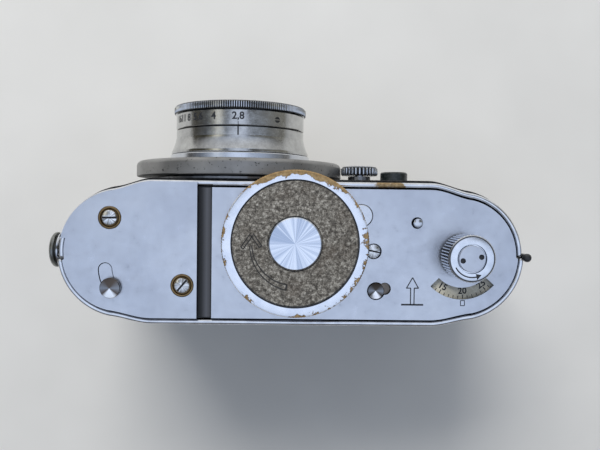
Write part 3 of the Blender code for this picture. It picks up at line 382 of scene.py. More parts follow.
def dial_enamel():
    """Off-white enamel of the counter dial, yellowed and dusty."""
    made, tree, shader = new_material("ivory_dial_enamel", "c9c4b4", 0.0, 0.5)
    place = coordinates(tree)
    dust = noise(tree, place, 0.7, 6.0, 0.75)
    tree.links.new(ramp(tree, dust, [(0.3, "a9a493"), (0.55, "c8c3b2"), (0.8, "d9d5c8")]),
                   shader.inputs["Base Color"])
    bump(tree, shader, dust, 0.01, 0.3)
    return made


def coated_glass():
    """Lens glass with a faint blue-violet coating; the dark barrel shows through it."""
    made, tree, shader = new_material("coated_lens_glass", "dfe6f2", 0.0, 0.03, IOR=1.55,
                                      Transmission_Weight=1.0)
    place = coordinates(tree)
    tree.links.new(remap(tree, noise(tree, place, 6.0), 0.3, 0.8, 0.02, 0.06), shader.inputs["Roughness"])
    return made


def engraving():
    """Black engraving wax."""
    made, tree, shader = new_material("black_engraving_wax", "1b1c20", 0.0, 0.6)
    place = coordinates(tree)
    tree.links.new(ramp(tree, noise(tree, place, 0.3, 3.0), [(0.3, "101114"), (0.8, "34363b")]),
                   shader.inputs["Base Color"])
    return made


MATERIALS = {
    "satin": satin_chrome(),
    "bright": bright_chrome(),
    "rim": worn_rim(),
    "knob": worn_knob_chrome(),
    "insert": granular_insert(),
    "flange": flange_enamel(),
    "lens": lens_steel(),
    "leather": leatherette(),
    "black": black_enamel(),
    "socket": black_enamel("black_green_socket", 0.3, "141a18"),
    "cast": black_enamel("painted_casting", 0.45, "2c2e31"),
    "steel": plain_metal("machined_steel", "77787a", "a9aaac", 0.3),
    "brass": plain_metal("tarnished_brass", "6d5a40", "a98d62", 0.35),
    "tin": plain_metal("lacquered_tin", "58534a", "8b8474", 0.4),
    "dial": dial_enamel(),
    "glass": coated_glass(),
    "wax": engraving(),
    # Knob cap: painted highlight fans, blue-grey and blue-white, on the turned face.
    "cap": turned_metal("face_turned_chrome_painted_fans", KNOB, "b9c4d6", "f4f8ff", 1.6, 0.24, seed=3.1),
    "milled": bright_chrome("milled_chrome", 0.25),
}


# ---- modelling tools -------------------------------------------------------------------------
def clear_selection():
    for piece in bpy.context.selected_objects:
        piece.select_set(False)


def activate(piece):
    clear_selection()
    piece.select_set(True)
    bpy.context.view_layer.objects.active = piece


def lathe(profile, steps=96):
    """Turned solid round Z: a circle extruded from point to point of its (radius, height)
    profile, in millimetres. A profile that starts on the axis ends there too; others close."""
    on_axis = profile[0][0] == 0
    path = profile[1:] if on_axis else profile
    radius, height = path[0]
    clear_selection()
    bpy.ops.mesh.primitive_circle_add(vertices=steps, radius=radius * MM, location=(0, 0, height * MM))
    piece = bpy.context.object
    bpy.ops.object.mode_set(mode="EDIT")
    if on_axis:
        bpy.ops.mesh.edge_face_add()
        bpy.ops.mesh.select_all(action="DESELECT")
        bpy.ops.mesh.select_mode(type="EDGE")
        bpy.ops.mesh.select_all(action="SELECT")
        bpy.ops.mesh.region_to_loop()
    for (r0, h0), (r1, h1) in zip(path, path[1:]):
        bpy.ops.mesh.extrude_edges_move(TRANSFORM_OT_translate={"value": (0, 0, (h1 - h0) * MM)})
        if r1 == 0:
            bpy.ops.mesh.merge(type="CENTER")
        elif abs(r1 - r0) > TINY:
            bpy.ops.transform.resize(value=(r1 / r0, r1 / r0, 1))
    if not on_axis:
        bpy.ops.mesh.select_mode(type="EDGE")
        bpy.ops.mesh.select_all(action="DESELECT")
        bpy.ops.mesh.select_non_manifold(extend=False)
        bpy.ops.mesh.bridge_edge_loops()
    bpy.ops.mesh.select_mode(type="VERT")
    bpy.ops.mesh.select_all(action="SELECT")
    bpy.ops.mesh.normals_make_consistent(inside=False)
    bpy.ops.object.mode_set(mode="OBJECT")
    activate(piece)
    bpy.ops.object.transform_apply(location=True, rotation=True, scale=True)
    return piece


def extruded(points, low, high):
    """Flat outline, in millimetres, extruded from low to high."""
    clear_selection()
    bpy.ops.mesh.primitive_circle_add(vertices=len(points), radius=MM, fill_type="NGON",
                                      location=(0, 0, 0))
    piece = bpy.context.object
    for vertex, (x, y) in zip(piece.data.vertices, points):
        vertex.co = (x * MM, y * MM, low * MM)
    bpy.ops.object.mode_set(mode="EDIT")
    bpy.ops.mesh.select_all(action="SELECT")
    bpy.ops.mesh.extrude_region_move(TRANSFORM_OT_translate={"value": (0, 0, (high - low) * MM)})
    bpy.ops.mesh.select_all(action="SELECT")
    bpy.ops.mesh.normals_make_consistent(inside=False)
    bpy.ops.object.mode_set(mode="OBJECT")
    return piece


def apply_modifier(piece, kind, **settings):
    activate(piece)
    change = piece.modifiers.new(kind.lower(), kind)
    for key, value in settings.items():
        setattr(change, key, value)
    bpy.ops.object.modifier_apply(modifier=change.name)


def combine(piece, other, operation="DIFFERENCE"):
    apply_modifier(piece, "BOOLEAN", object=other, operation=operation, solver="EXACT")
    bpy.data.objects.remove(other, do_unlink=True)


def soften(piece, width, segments=2, angle=40):
    apply_modifier(piece, "BEVEL", width=width * MM, segments=segments, limit_method="ANGLE",
                   angle_limit=math.radians(angle), harden_normals=False)


def put(piece, at=(0, 0, 0), along="Z"):
    """Moves a piece that was made round Z to its place; its local Z lies along that axis."""
    turns = {"Z": (0, 0, 0), "Y": (-90, 0, 0), "X": (0, 90, 0), "-X": (0, -90, 0)}
    activate(piece)
    piece.rotation_euler = [math.radians(v) for v in turns[along]]
    piece.location = [v * MM for v in at]
    bpy.ops.object.transform_apply(location=True, rotation=True, scale=True)
    return piece


def put_turned(piece, at, degrees):
    activate(piece)
    piece.rotation_euler = (0, 0, math.radians(degrees))
    piece.location = [v * MM for v in at]
    bpy.ops.object.transform_apply(location=True, rotation=True, scale=True)
    return piece


def finish(piece, name, material, body, slot, *replaced, smooth=32):
    """Names a finished piece, gives it its material and hands it to the frame."""
    activate(piece)
    bpy.ops.object.transform_apply(location=True, rotation=True, scale=True)
    bpy.ops.object.shade_smooth_by_angle(angle=math.radians(smooth))
    apply_modifier(piece, "WEIGHTED_NORMAL", keep_sharp=True, weight=90)
    piece.name = name
    piece.data.name = name
    piece.data.materials.clear()
    piece.data.materials.append(MATERIALS[material])
    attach(piece, body)
    if replaced:
        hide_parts(*replaced)
    return piece


def mill(piece, radius, depth, teeth, low, high):
    """Straight milling: presses two of every four side vertices in by depth."""
    picked = 0
    for vertex in piece.data.vertices:
        x, y, z = (v / MM for v in vertex.co)
        turn = math.atan2(y, x) / math.tau * 4 * teeth
        side = abs(math.hypot(x, y) - radius) < 0.01 and low - 0.01 <= z <= high + 0.01
        vertex.select = side and round(turn) % 4 in (2, 3)
        picked += vertex.select
    for edge in piece.data.edges:
        edge.select = False
    for face in piece.data.polygons:
        face.select = False
    activate(piece)
    factor = 1 - depth / radius
    bpy.ops.object.mode_set(mode="EDIT")
    bpy.ops.transform.resize(value=(factor, factor, 1))
    bpy.ops.object.mode_set(mode="OBJECT")
    return piece


def arc(x, y, radius, start, end, count):
    steps = [math.radians(start + (end - start) * i / (count - 1)) for i in range(count)]
    return [(x + radius * math.cos(a), y + radius * math.sin(a)) for a in steps]


def circle(x, y, radius, count=48):
    return arc(x, y, radius, 0, 360 - 360 / count, count)


def rectangle(x0, x1, y0, y1):
    return [(x0, y0), (x1, y0), (x1, y1), (x0, y1)]


def lettering(text, size, thickness=0.03):
    """Plain figures as a mesh, centred on the origin and facing +Z."""
    clear_selection()
    bpy.ops.object.text_add(location=(0, 0, 0))
    piece = bpy.context.object
    piece.data.body = text
    piece.data.size = size * MM
    piece.data.align_x = "CENTER"
    piece.data.align_y = "CENTER"
    piece.data.offset = 0.024 * MM * size
    piece.data.extrude = thickness * MM
    piece.data.resolution_u = 3
    bpy.ops.object.convert(target="MESH")
    return bpy.context.object


def place_by(piece, x_axis, y_axis, origin):
    """Moves a flat piece so that its own X and Y lie along two directions."""
    x_axis, y_axis = Vector(x_axis).normalized(), Vector(y_axis).normalized()
    z_axis = x_axis.cross(y_axis)
    turn = Matrix((x_axis, y_axis, z_axis)).transposed().to_4x4()
    activate(piece)
    piece.matrix_world = Matrix.Translation([v * MM for v in origin]) @ turn
    bpy.ops.object.transform_apply(location=True, rotation=True, scale=True)
    return piece


def joined(pieces):
    activate(pieces[0])
    for piece in pieces:
        piece.select_set(True)
    bpy.ops.object.join()
    return bpy.context.object


def stroke(x0, y0, x1, y1, width, low, high):
    """Engraved line between two points, as a thin bar."""
    length = math.hypot(x1 - x0, y1 - y0)
    ux, uy = (x1 - x0) / length, (y1 - y0) / length
    nx, ny = -uy * width / 2, ux * width / 2
    return extruded([(x0 + nx, y0 + ny), (x0 - nx, y0 - ny), (x1 - nx, y1 - ny), (x1 + nx, y1 + ny)],
                    low, high)


# ---- body outline ------------------------------------------------------------------------------
def shoulder(start, end, slope, count=12):
    points = []
    run = end[0] - start[0]
    for i in range(count):
        t = i / (count - 1)
        height = start[1] * (2 * t**3 - 3 * t**2 + 1) + end[1] * (3 * t**2 - 2 * t**3)
        points.append((start[0] + run * t, height + slope * run * (t**3 - t**2)))
    return points


def half_outline(side, inset, seam_right, seam_left):
    """Half of the body's outline, from the right seam to the left one; side is +1 in front."""
    radius = END_RADIUS + (0 if side > 0 else BACK_STEP) - inset
    wall_y = (FRONT_Y if side > 0 else BACK_Y) - inset
    middle = -0.4 * side
    run = 3.4 * radius / (END_RADIUS - inset)
    top = middle + math.sqrt(radius**2 - run**2)
    bend = shoulder((END_X - 7.1, wall_y), (END_X + run, top), -0.10)
    last = math.degrees(math.acos(run / radius))

    def quarter(seam):
        first = math.degrees(math.asin((seam * side - middle) / radius))
        return arc(END_X, middle, radius, first, last, 26)[:-1] + bend[::-1]

    points = quarter(seam_right) + [(-x, y) for x, y in quarter(seam_left)[::-1]]
    return [(x, y * side) for x, y in points]


def full_outline(inset):
    front = half_outline(1, inset, SEAM_RIGHT, SEAM_LEFT)
    back = half_outline(-1, inset, SEAM_RIGHT - 0.3, SEAM_LEFT - 0.3)
    return front + back[::-1]


def clip_outline(points, x0, x1):
    kept = []
    for (ax, ay), (bx, by) in zip(points, points[1:] + points[:1]):
        for limit in sorted((x0, x1), reverse=ax > bx):
            if min(ax, bx) < limit < max(ax, bx):
                kept.append((limit, ay + (by - ay) * (limit - ax) / (bx - ax)))
        if x0 <= bx <= x1:
            kept.append((bx, by))
    return kept


def wall_strip(side, outer, inner, seam_right, seam_left):
    return (half_outline(side, outer, seam_right, seam_left)
            + half_outline(side, inner, seam_right, seam_left)[::-1])


def round_hole(piece, x, y, radius, low, high, along="Z", steps=48):
    cutter = lathe([(0, low), (radius, low), (radius, high), (0, high)], steps)
    at = {"Z": (x, y, 0), "Y": (x, 0, y), "X": (0, x, y)}[along]
    combine(piece, put(cutter, at, along))


# ---- shells --------------------------------------------------------------------------------------
HINGE = centre("hinge_pin")
LATCH = centre("latch_stud")
DIAL_POST = centre("speed_dial")
SOCKET = centre("sync_socket")


def make_shells():
    shell = extruded(wall_strip(1, 0, WALL, SEAM_RIGHT + 0.15, SEAM_LEFT + 0.15), SHELL_Z, RIM_Z)
    soften(shell, 0.6, 6, 50)
    round_hole(shell, LENS[0], LENS[2], 17.2, FRONT_Y - 3, FRONT_Y + 1, "Y", 96)
    round_hole(shell, HINGE[0], HINGE[1], 1.2, SHELL_Z - 1, RIM_Z + 1)
    round_hole(shell, LATCH[1], LATCH[2], 1.2, -60, -54, "X")
    round_hole(shell, DIAL_POST[0], DIAL_POST[2], 1.5, FRONT_Y - 3, FRONT_Y + 1, "Y")
    finish(shell, "front_shell_chromed", "rim", "camera", "bright_chrome", "front_shell")

    door = extruded(wall_strip(-1, 0, WALL, SEAM_RIGHT - 0.15, SEAM_LEFT - 0.15), SHELL_Z, RIM_Z)
    soften(door, 0.6, 6, 50)
    round_hole(door, HINGE[0], HINGE[1], 1.2, SHELL_Z - 1, RIM_Z + 1)
    finish(door, "back_door_chromed", "rim", "door", "bright_chrome", "back_door")

    low, high = span("front_leather", Z_AXIS)
    skin = extruded(wall_strip(1, -0.75, -0.1, SEAM_RIGHT + 1.6, SEAM_LEFT + 1.6), low, high)
    soften(skin, 0.2, 2, 50)
    round_hole(skin, LENS[0], LENS[2], 24.3, FRONT_Y - 1, FRONT_Y + 2, "Y", 96)
    round_hole(skin, DIAL_POST[0], DIAL_POST[2], 3.5, FRONT_Y - 1, FRONT_Y + 2, "Y")
    round_hole(skin, SOCKET[0], SOCKET[2], 4.2, FRONT_Y - 1, FRONT_Y + 2, "Y")
    round_hole(skin, LATCH[1], LATCH[2], 4.8, -61, -56, "X")
    finish(skin, "front_covering", "leather", "camera", "black_leather", "front_leather")

    low, high = span("back_leather", Z_AXIS)
    back = extruded(wall_strip(-1, -0.75, -0.1, SEAM_RIGHT - 4.0, SEAM_LEFT - 4.0), low, high)
    soften(back, 0.2, 2, 50)
    finish(back, "back_covering", "leather", "door", "black_leather", "back_leather")

    x, y = HINGE[0], HINGE[1]
    low, high = span("hinge_pin", Z_AXIS)
    pin = lathe([(0, low), (0.6, low), (0.9, low + 0.3), (0.9, high - 1.7), (1.05, high - 1.35),
                 (1.05, high - 0.75), (0.8, high - 0.3), (0.45, high - 0.05), (0, high)], 40)
    finish(put(pin, (x, y, 0)), "hinge_pin_blackened", "black", "camera", "black_paint", "hinge_pin")


def make_latch():
    """Left-end stud: a bright collar on the wall and a chamfered head on a dark neck."""
    wall = span("front_shell", X_AXIS)[0]
    collar = lathe([(1.5, 0.8), (4.2, 0.8), (4.4, 1.0), (4.4, 1.3), (4.2, 1.5), (1.5, 1.5)], 72)
    finish(put(collar, (wall, LATCH[1], LATCH[2]), "-X"), "latch_collar_bright", "bright", "camera",
           "bright_chrome", "latch_collar")
    head = lathe([(0, -2.4), (1.6, -2.4), (1.6, -1.6), (0.9, -1.6), (0.9, 1.8), (3.3, 1.8), (3.3, 2.0),
                  (4.35, 2.0), (4.5, 2.15), (4.5, 2.6), (4.35, 2.85), (3.9, 3.2), (3.6, 3.3),
                  (0, 3.3)], 72)
    MATERIALS["stud"] = plain_metal("dull_chromed_stud", "6f706c", "a3a4a0", 0.3)
    finish(put(head, (wall, LATCH[1], LATCH[2]), "-X"), "latch_stud_bright", "stud", "latch",
           "bright_chrome", "latch_stud")


# ---- top housing, on the side the camera lies on ----------------------------------------------------
def rounded(x0, x1, y0, y1, radius, count=10):
    corners = ((x1 - radius, y0 + radius, -90), (x1 - radius, y1 - radius, 0),
               (x0 + radius, y1 - radius, 90), (x0 + radius, y0 + radius, 180))
    points = []
    for x, y, start in corners:
        points += arc(x, y, radius, start, start + 90, count)
    return points


def make_top():
    low, high = span("top_housing", Z_AXIS)
    deck = span("release_collar", Z_AXIS)[1] + 0.3
    lens_x = LENS[0]
    housing = extruded(full_outline(0), deck, high)
    soften(housing, 0.8, 4, 50)
    hump = extruded(rounded(lens_x - 16.5, lens_x + 27.5, -15.0, 15.0, 3.0), low, deck + 0.9)
    soften(hump, 0.7, 4, 50)
    combine(housing, hump, "UNION")
    combine(housing, extruded(full_outline(WALL), deck + 1.0, high + 1))
    combine(housing, extruded(rounded(lens_x - 15.2, lens_x + 26.2, -13.7, 13.7, 1.7), low + 1.2,
                              deck + 2))
    window = extruded(rectangle(lens_x - 5.2, lens_x + 5.2, 12, 16), 1.6, 6.4)
    soften(window, 0.5, 3)
    combine(housing, window)
    round_hole(housing, lens_x, 4.0, 2.4, -16, -12, "Y")
    release = centre("release_button")
    round_hole(housing, release[0], release[1], 1.7, deck - 1, deck + 2)
    finish(housing, "top_housing_satin", "satin", "camera", "satin_chrome", "top_housing", smooth=40)

    frame_ring = extruded(rectangle(lens_x - 5.9, lens_x + 5.9, 1.0, 7.0), 0, 0.45)
    combine(frame_ring, extruded(rectangle(lens_x - 4.9, lens_x + 4.9, 1.9, 6.1), -1, 1))
    soften(frame_ring, 0.12)
    activate(frame_ring)
    place_by(frame_ring, (-1, 0, 0), (0, 0, 1), (2 * 0, 15.0, 0))
    frame_ring.data.transform(Matrix.Scale(-1, 4, (1, 0, 0)))
    frame_ring.data.flip_normals()
    finish(frame_ring, "finder_window_frame", "bright", "camera", "bright_chrome")

    eyepiece = lathe([(2.5, -15.5), (3.4, -15.5), (3.4, -15.02), (2.5, -15.02)], 48)
    finish(put(eyepiece, (lens_x, 0, 4.0), "Y"), "finder_eyepiece_ring", "bright", "camera",
           "bright_chrome")

    x, y, _ = centre("accessory_shoe")
    s_low, s_high = span("accessory_shoe", Z_AXIS)
    shoe = extruded(rectangle(x - 10.7, x + 10.7, y - 9, y + 9), s_low, s_high)
    combine(shoe, extruded(rectangle(x - 9.4, x + 9.4, y - 10, y + 10), s_low + 0.9, s_high - 0.7))
    combine(shoe, extruded(rectangle(x - 7.0, x + 7.0, y - 10, y + 10), s_low - 1, s_low + 1))
    soften(shoe, 0.2, 2)
    finish(shoe, "accessory_shoe_bright", "bright", "camera", "bright_chrome", "accessory_shoe")
    screws = []
    for dx, dy in ((-4, -5), (4, -5), (-4, 5), (4, 5)):
        floor = s_high - 0.7
        screw = lathe([(0, floor - 0.3), (0.6, floor - 0.3), (0.9, floor - 0.25), (0.9, floor - 0.02),
                       (0, floor - 0.02)], 24)
        combine(screw, extruded(rectangle(-2, 2, -0.13, 0.13), floor - 1, floor - 0.15))
        screws.append(put(screw, (x + dx, y + dy, 0)))
    finish(joined(screws), "shoe_screws", "milled", "camera", "bright_chrome")

    x, y, _ = release
    collar = lathe([(1.7, deck - 2.2), (4.1, deck - 2.2), (4.6, deck - 1.6), (4.6, deck - 0.3),
                    (1.7, deck - 0.3)], 4 * 40)
    mill(collar, 4.6, 0.2, 40, deck - 1.6, deck - 0.3)
    finish(put(collar, (x, y, 0)), "release_collar_milled", "milled", "camera", "bright_chrome",
           "release_collar")
    button = lathe([(0, deck - 4.6), (1.0, deck - 4.65), (2.0, deck - 4.8), (2.5, deck - 4.6),
                    (2.8, deck - 4.2), (2.8, deck - 3.6), (1.4, deck - 3.6), (1.4, deck + 2.4),
                    (0, deck + 2.4)], 56)
    finish(put(button, (x, y, 0)), "release_button_bright", "bright", "release", "bright_chrome",
           "release_button")


# ---- base ---------------------------------------------------------------------------------------------
STOP = centre("motor_stop")
PIN = centre("rewind_pin")
BASE_SCREW = centre("base_screw")
COVER_DISC = centre("cover_disc")
SLIDER_BUTTON = (-44.8, -9.2)
SLIDER_PIVOT = (-36.6, -4.0)
WINDOW_INNER, WINDOW_OUTER = 8.25, 11.0
PLATE_EDGE_X = span("base_plate", X_AXIS)[0]
COVER_EDGE_X = span("left_cover", X_AXIS)[1]


def window_outline(inner, outer, half_angle, middle=-88.5):
    return (arc(REWIND[0], REWIND[1], inner, middle - half_angle, middle + half_angle, 30)
            + arc(REWIND[0], REWIND[1], outer, middle + half_angle, middle - half_angle, 36))


def make_base_plate():
    outline = full_outline(INSET)
    plate = extruded(clip_outline(outline, PLATE_EDGE_X, 99), PLATE_LOW, PLATE_Z)
    for x, y, radius in ((KNOB[0], KNOB[1], 2.8), (PIN[0], PIN[1], 1.45), (REWIND[0], REWIND[1], 3.3),
                         (STOP[0], STOP[1], 2.25), (STOP[0] + 2.2, STOP[1] + 0.6, 1.55),
                         (BASE_SCREW[0], BASE_SCREW[1], 1.98), (COVER_DISC[0], COVER_DISC[1], 2.9)):
        round_hole(plate, x, y, radius, PLATE_LOW - 1, PLATE_Z + 1)
    combine(plate, extruded(window_outline(WINDOW_INNER - 0.25, WINDOW_OUTER, 47), PLATE_LOW - 1, PLATE_Z + 1))
    soften(plate, 0.13, 2, 50)
    finish(plate, "base_plate_satin", "satin", "camera", "satin_chrome", "base_plate")


def make_left_cover():
    cover = extruded(clip_outline(full_outline(INSET), -99, COVER_EDGE_X), PLATE_LOW, COVER_Z)
    # On the lens side the cover laps over the shell's rim.
    lap = half_outline(1, 0.55, 3.0, 3.0) + [(-END_X, 3.0), (END_X, 3.0)]
    combine(cover, extruded(clip_outline(lap, -99, COVER_EDGE_X), RIM_Z + 0.1, COVER_Z), "UNION")
    for letter in "ab":
        x, y, _ = centre("cup_washer_" + letter)
        round_hole(cover, x, y, 2.9, COVER_Z - 0.9, COVER_Z + 1)
        round_hole(cover, x, y, 1.1, PLATE_LOW - 1, COVER_Z)
    radius = math.dist(SLIDER_BUTTON, SLIDER_PIVOT)
    start = math.degrees(math.atan2(SLIDER_BUTTON[1] - SLIDER_PIVOT[1],
                                    SLIDER_BUTTON[0] - SLIDER_PIVOT[0])) + 360
    end = start - 28.0

    def slot(half, low, high):
        here = SLIDER_PIVOT
        head, tail = arc(*here, radius, start, end, 2)
        points = arc(*here, radius + half, end, start, 16)
        points += arc(*head, half, start, start + 180, 16)[1:-1]
        points += arc(*here, radius - half, start, end, 16)
        points += arc(*tail, half, end + 180, end + 360, 16)[1:-1]
        return extruded(points, low, high)

    combine(cover, slot(1.8, PLATE_LOW - 1, COVER_Z + 1))
    soften(cover, 0.22, 3, 50)
    finish(cover, "left_cover_satin", "satin", "camera", "satin_chrome", "left_cover")
    # The slot is closed just below the face by a sheet that the slider's stem passes over.
    sheet = slot(1.66, COVER_Z - 0.4, COVER_Z - 0.12)
    soften(sheet, 0.08, 1, 50)
    finish(sheet, "slot_floor", "satin", "camera", "satin_chrome")


def make_slider():
    """Turned button whose foot slides on the slot's floor; its arm is under the deck."""
    low = span("slider", Z_AXIS)[0]
    x, y = SLIDER_BUTTON
    arm_top = PLATE_LOW - 0.5
    arm = extruded(circle(*SLIDER_PIVOT, 2.0), low, arm_top)
    combine(arm, extruded([(SLIDER_PIVOT[0] + 0.7, SLIDER_PIVOT[1] - 1.0), (x + 0.7, y - 1.0),
                           (x - 0.7, y + 1.0), (SLIDER_PIVOT[0] - 0.7, SLIDER_PIVOT[1] + 1.0)],
                          low, arm_top), "UNION")
    foot = COVER_Z - 0.1
    stem = lathe([(0, foot), (1.5, foot), (1.5, COVER_Z + 0.3), (2.35, COVER_Z + 0.3),
                  (2.55, COVER_Z + 0.5), (2.55, COVER_Z + 1.15), (2.4, COVER_Z + 1.35),
                  (0, COVER_Z + 1.6)], 72)
    arm = joined([arm, put(stem, (x, y, 0))])
    # Painted reflection: a dark brown face with one painted white highlight fan towards -Y.
    MATERIALS["slider"] = turned_metal("turned_slider_painted_highlight", (x, y, 0), "5e544c", "ffffff", 1.0, 0.22,
                                       highlight_wedge=-90)
    finish(arm, "slider_turned", "slider", "slider", "bright_chrome", "slider")


def screw_with_slot(node_name, radius, slot_angle, slot_width, name):
    x, y, _ = centre(node_name)
    low, high = span(node_name, Z_AXIS)
    head_low = high - 0.55
    screw = lathe([(0, low), (0.8, low), (0.8, head_low), (radius, head_low), (radius, high - 0.15),
                   (radius - 0.25, high), (0, high)], 56)
    slot = extruded(rectangle(-radius - 1, radius + 1, -slot_width / 2, slot_width / 2), high - 0.42,
                    high + 1)
    slot.rotation_euler = (0, 0, math.radians(slot_angle))
    bpy.context.view_layer.update()
    combine(screw, slot)
    floor = extruded(rectangle(-radius + 0.04, radius - 0.04, -slot_width / 2 + 0.01,
                               slot_width / 2 - 0.01), high - 0.5, high - 0.3)
    finish(put_turned(floor, (x, y, 0), slot_angle), name + "_slot", "wax", "camera", "bright_chrome")
    # Screw heads: painted highlight fans, grey and white, on the turned face.
    MATERIALS[name] = turned_metal(name + "_face", (x, y, 0), "9a9893", "fbfcfd", 1.4, 0.22,
                                   seed=slot_angle)
    finish(put(screw, (x, y, 0)), name, name, "camera", "bright_chrome", node_name)


def make_fasteners():
    for letter, angle in (("a", 0), ("b", 50)):
        node_name = "cup_washer_" + letter
        x, y, _ = centre(node_name)
        low, high = span(node_name, Z_AXIS)
        cup = lathe([(1.1, low), (2.8, low), (2.8, high - 0.1), (2.65, high), (2.4, high - 0.02),
                     (2.05, low + 0.4), (1.1, low + 0.35)], 64)
        finish(put(cup, (x, y, 0)), node_name + "_brass", "brass", "camera", "brass", node_name)
        screw_with_slot("cover_screw_" + letter, 1.85, angle, 0.5, "cover_screw_turned_" + letter)
    screw_with_slot("base_screw", 1.75, -12, 0.42, "base_screw_turned")
    x, y, _ = COVER_DISC
    low, high = span("cover_disc", Z_AXIS)
    disc = lathe([(0, low), (2.75, low), (2.75, high - 0.15), (2.6, high), (0, high)], 64)
    finish(put(disc, (x, y, 0)), "cover_disc_bright", "bright", "camera", "bright_chrome", "cover_disc")

    x, y, _ = STOP
    low, _ = span("motor_stop", Z_AXIS)
    stop = lathe([(0, low), (1.0, low), (1.0, PLATE_LOW + 0.3), (2.02, PLATE_LOW + 0.3),
                  (2.02, PLATE_Z - 0.1), (1.92, PLATE_Z), (1.8, PLATE_Z - 0.02), (0, PLATE_Z - 0.6)], 72)
    # Painted reflection: a dark brown-grey face with one painted white highlight fan towards -Y.
    MATERIALS["stop"] = turned_metal("turned_stop_painted_highlight", (x, y, 0), "4c453e", "ffffff", 1.0, 0.22, highlight_wedge=-92)
    finish(put(stop, (x, y, 0)), "motor_stop_turned", "stop", "motor_stop", "bright_chrome", "motor_stop")
    lobe = lathe([(0, PLATE_LOW - 0.5), (1.5, PLATE_LOW - 0.5), (1.5, PLATE_LOW + 0.25), (1.35, PLATE_LOW + 0.4),
                  (0, PLATE_LOW + 0.4)], 40)
    MATERIALS["lobe"] = plain_metal("browned_steel", "4a433c", "8a8178", 0.3)
    finish(put(lobe, (x + 2.2, y + 0.6, 0)), "stop_side_lobe", "lobe", "camera", "bright_chrome")
    x, y, _ = PIN
    low, high = span("rewind_pin", Z_AXIS)
    pin = lathe([(0, low), (1.15, low), (1.15, high - 0.35), (1.05, high - 0.12), (0.8, high),
                 (0, high)], 48)
    finish(put(pin, (x, y, 0)), "rewind_pin_bright", "bright", "rewind_pin", "bright_chrome",
           "rewind_pin")


def make_gap_strip():
    """Dark strip of the deck seen between the two plates, with painted shadow: near-black along both edges of
    its hollow, lighter in the middle.
    """
    made, tree, shader = new_material("deck_strip_painted_shadow", "3b3c40", 0.0, 0.5)
    place = coordinates(tree, (COVER_EDGE_X, 0, 0))
    across = node(tree, "ShaderNodeSeparateXYZ", links={"Vector": place}).outputs["X"]
    width = PLATE_EDGE_X - COVER_EDGE_X
    # Painted shadow: near-black at both edges, lighter across the middle.
    tone = ramp(tree, remap(tree, across, 0.0, width * MM, 0.0, 1.0),
                [(0.05, "060606"), (0.3, "1f2022"), (0.62, "4a4c52"), (0.85, "3a3b3f"), (0.95, "0b0b0b")])
    tree.links.new(tone, shader.inputs["Base Color"])
    bump(tree, shader, noise(tree, place, 0.5), 0.01, 0.3)
    MATERIALS["strip"] = made
    outline = clip_outline(full_outline(INSET + 0.1), COVER_EDGE_X + 0.02, PLATE_EDGE_X - 0.02)
    strip = extruded(outline, PLATE_LOW - 0.2, PLATE_LOW + 0.3)
    soften(strip, 0.15, 2, 50)
    finish(strip, "gap_strip", "strip", "camera", "casting")


def make_marks():
    """Engraved arrow and counter index on the base plate."""
    low, high = PLATE_Z - 0.05, PLATE_Z + 0.012
    line = 0.27
    tip, wing, foot = (30.5, -6.0), 1.5, -12.85
    barb = -8.65
    marks = [stroke(tip[0], tip[1], tip[0] - wing, barb, line, low, high),
             stroke(tip[0], tip[1], tip[0] + wing, barb, line, low, high),
             stroke(tip[0] - wing - 0.1, barb, tip[0] - 0.4, barb, line, low, high),
             stroke(tip[0] + 0.4, barb, tip[0] + wing + 0.1, barb, line, low, high),
             stroke(tip[0] - 0.45, barb, tip[0] - 0.45, foot, line, low, high),
             stroke(tip[0] + 0.45, barb, tip[0] + 0.45, foot, line, low, high),
             stroke(tip[0] - 2.8, foot, tip[0] + 2.8, foot, line + 0.16, low, high)]
    x, y = REWIND[0] + 0.35, -12.3
    for dx in (-0.5, 0.5):
        marks.append(stroke(x + dx, y - 0.7, x + dx, y + 0.7, 0.2, low, high))
    for dy in (-0.65, 0.65):
        marks.append(stroke(x - 0.5, y + dy, x + 0.5, y + dy, 0.2, low, high))
    finish(joined(marks), "base_engraving", "wax", "camera", "satin_chrome")


# ---- winding knob ---------------------------------------------------------------------------------------
KNOB_RADIUS = span("winding_knob", X_AXIS)[1] - KNOB[0]
DISC_RADIUS = span("knob_grip_disc", X_AXIS)[1] - centre("knob_grip_disc")[0]
CAP_RADIUS = span("knob_cap", X_AXIS)[1] - centre("knob_cap")[0]


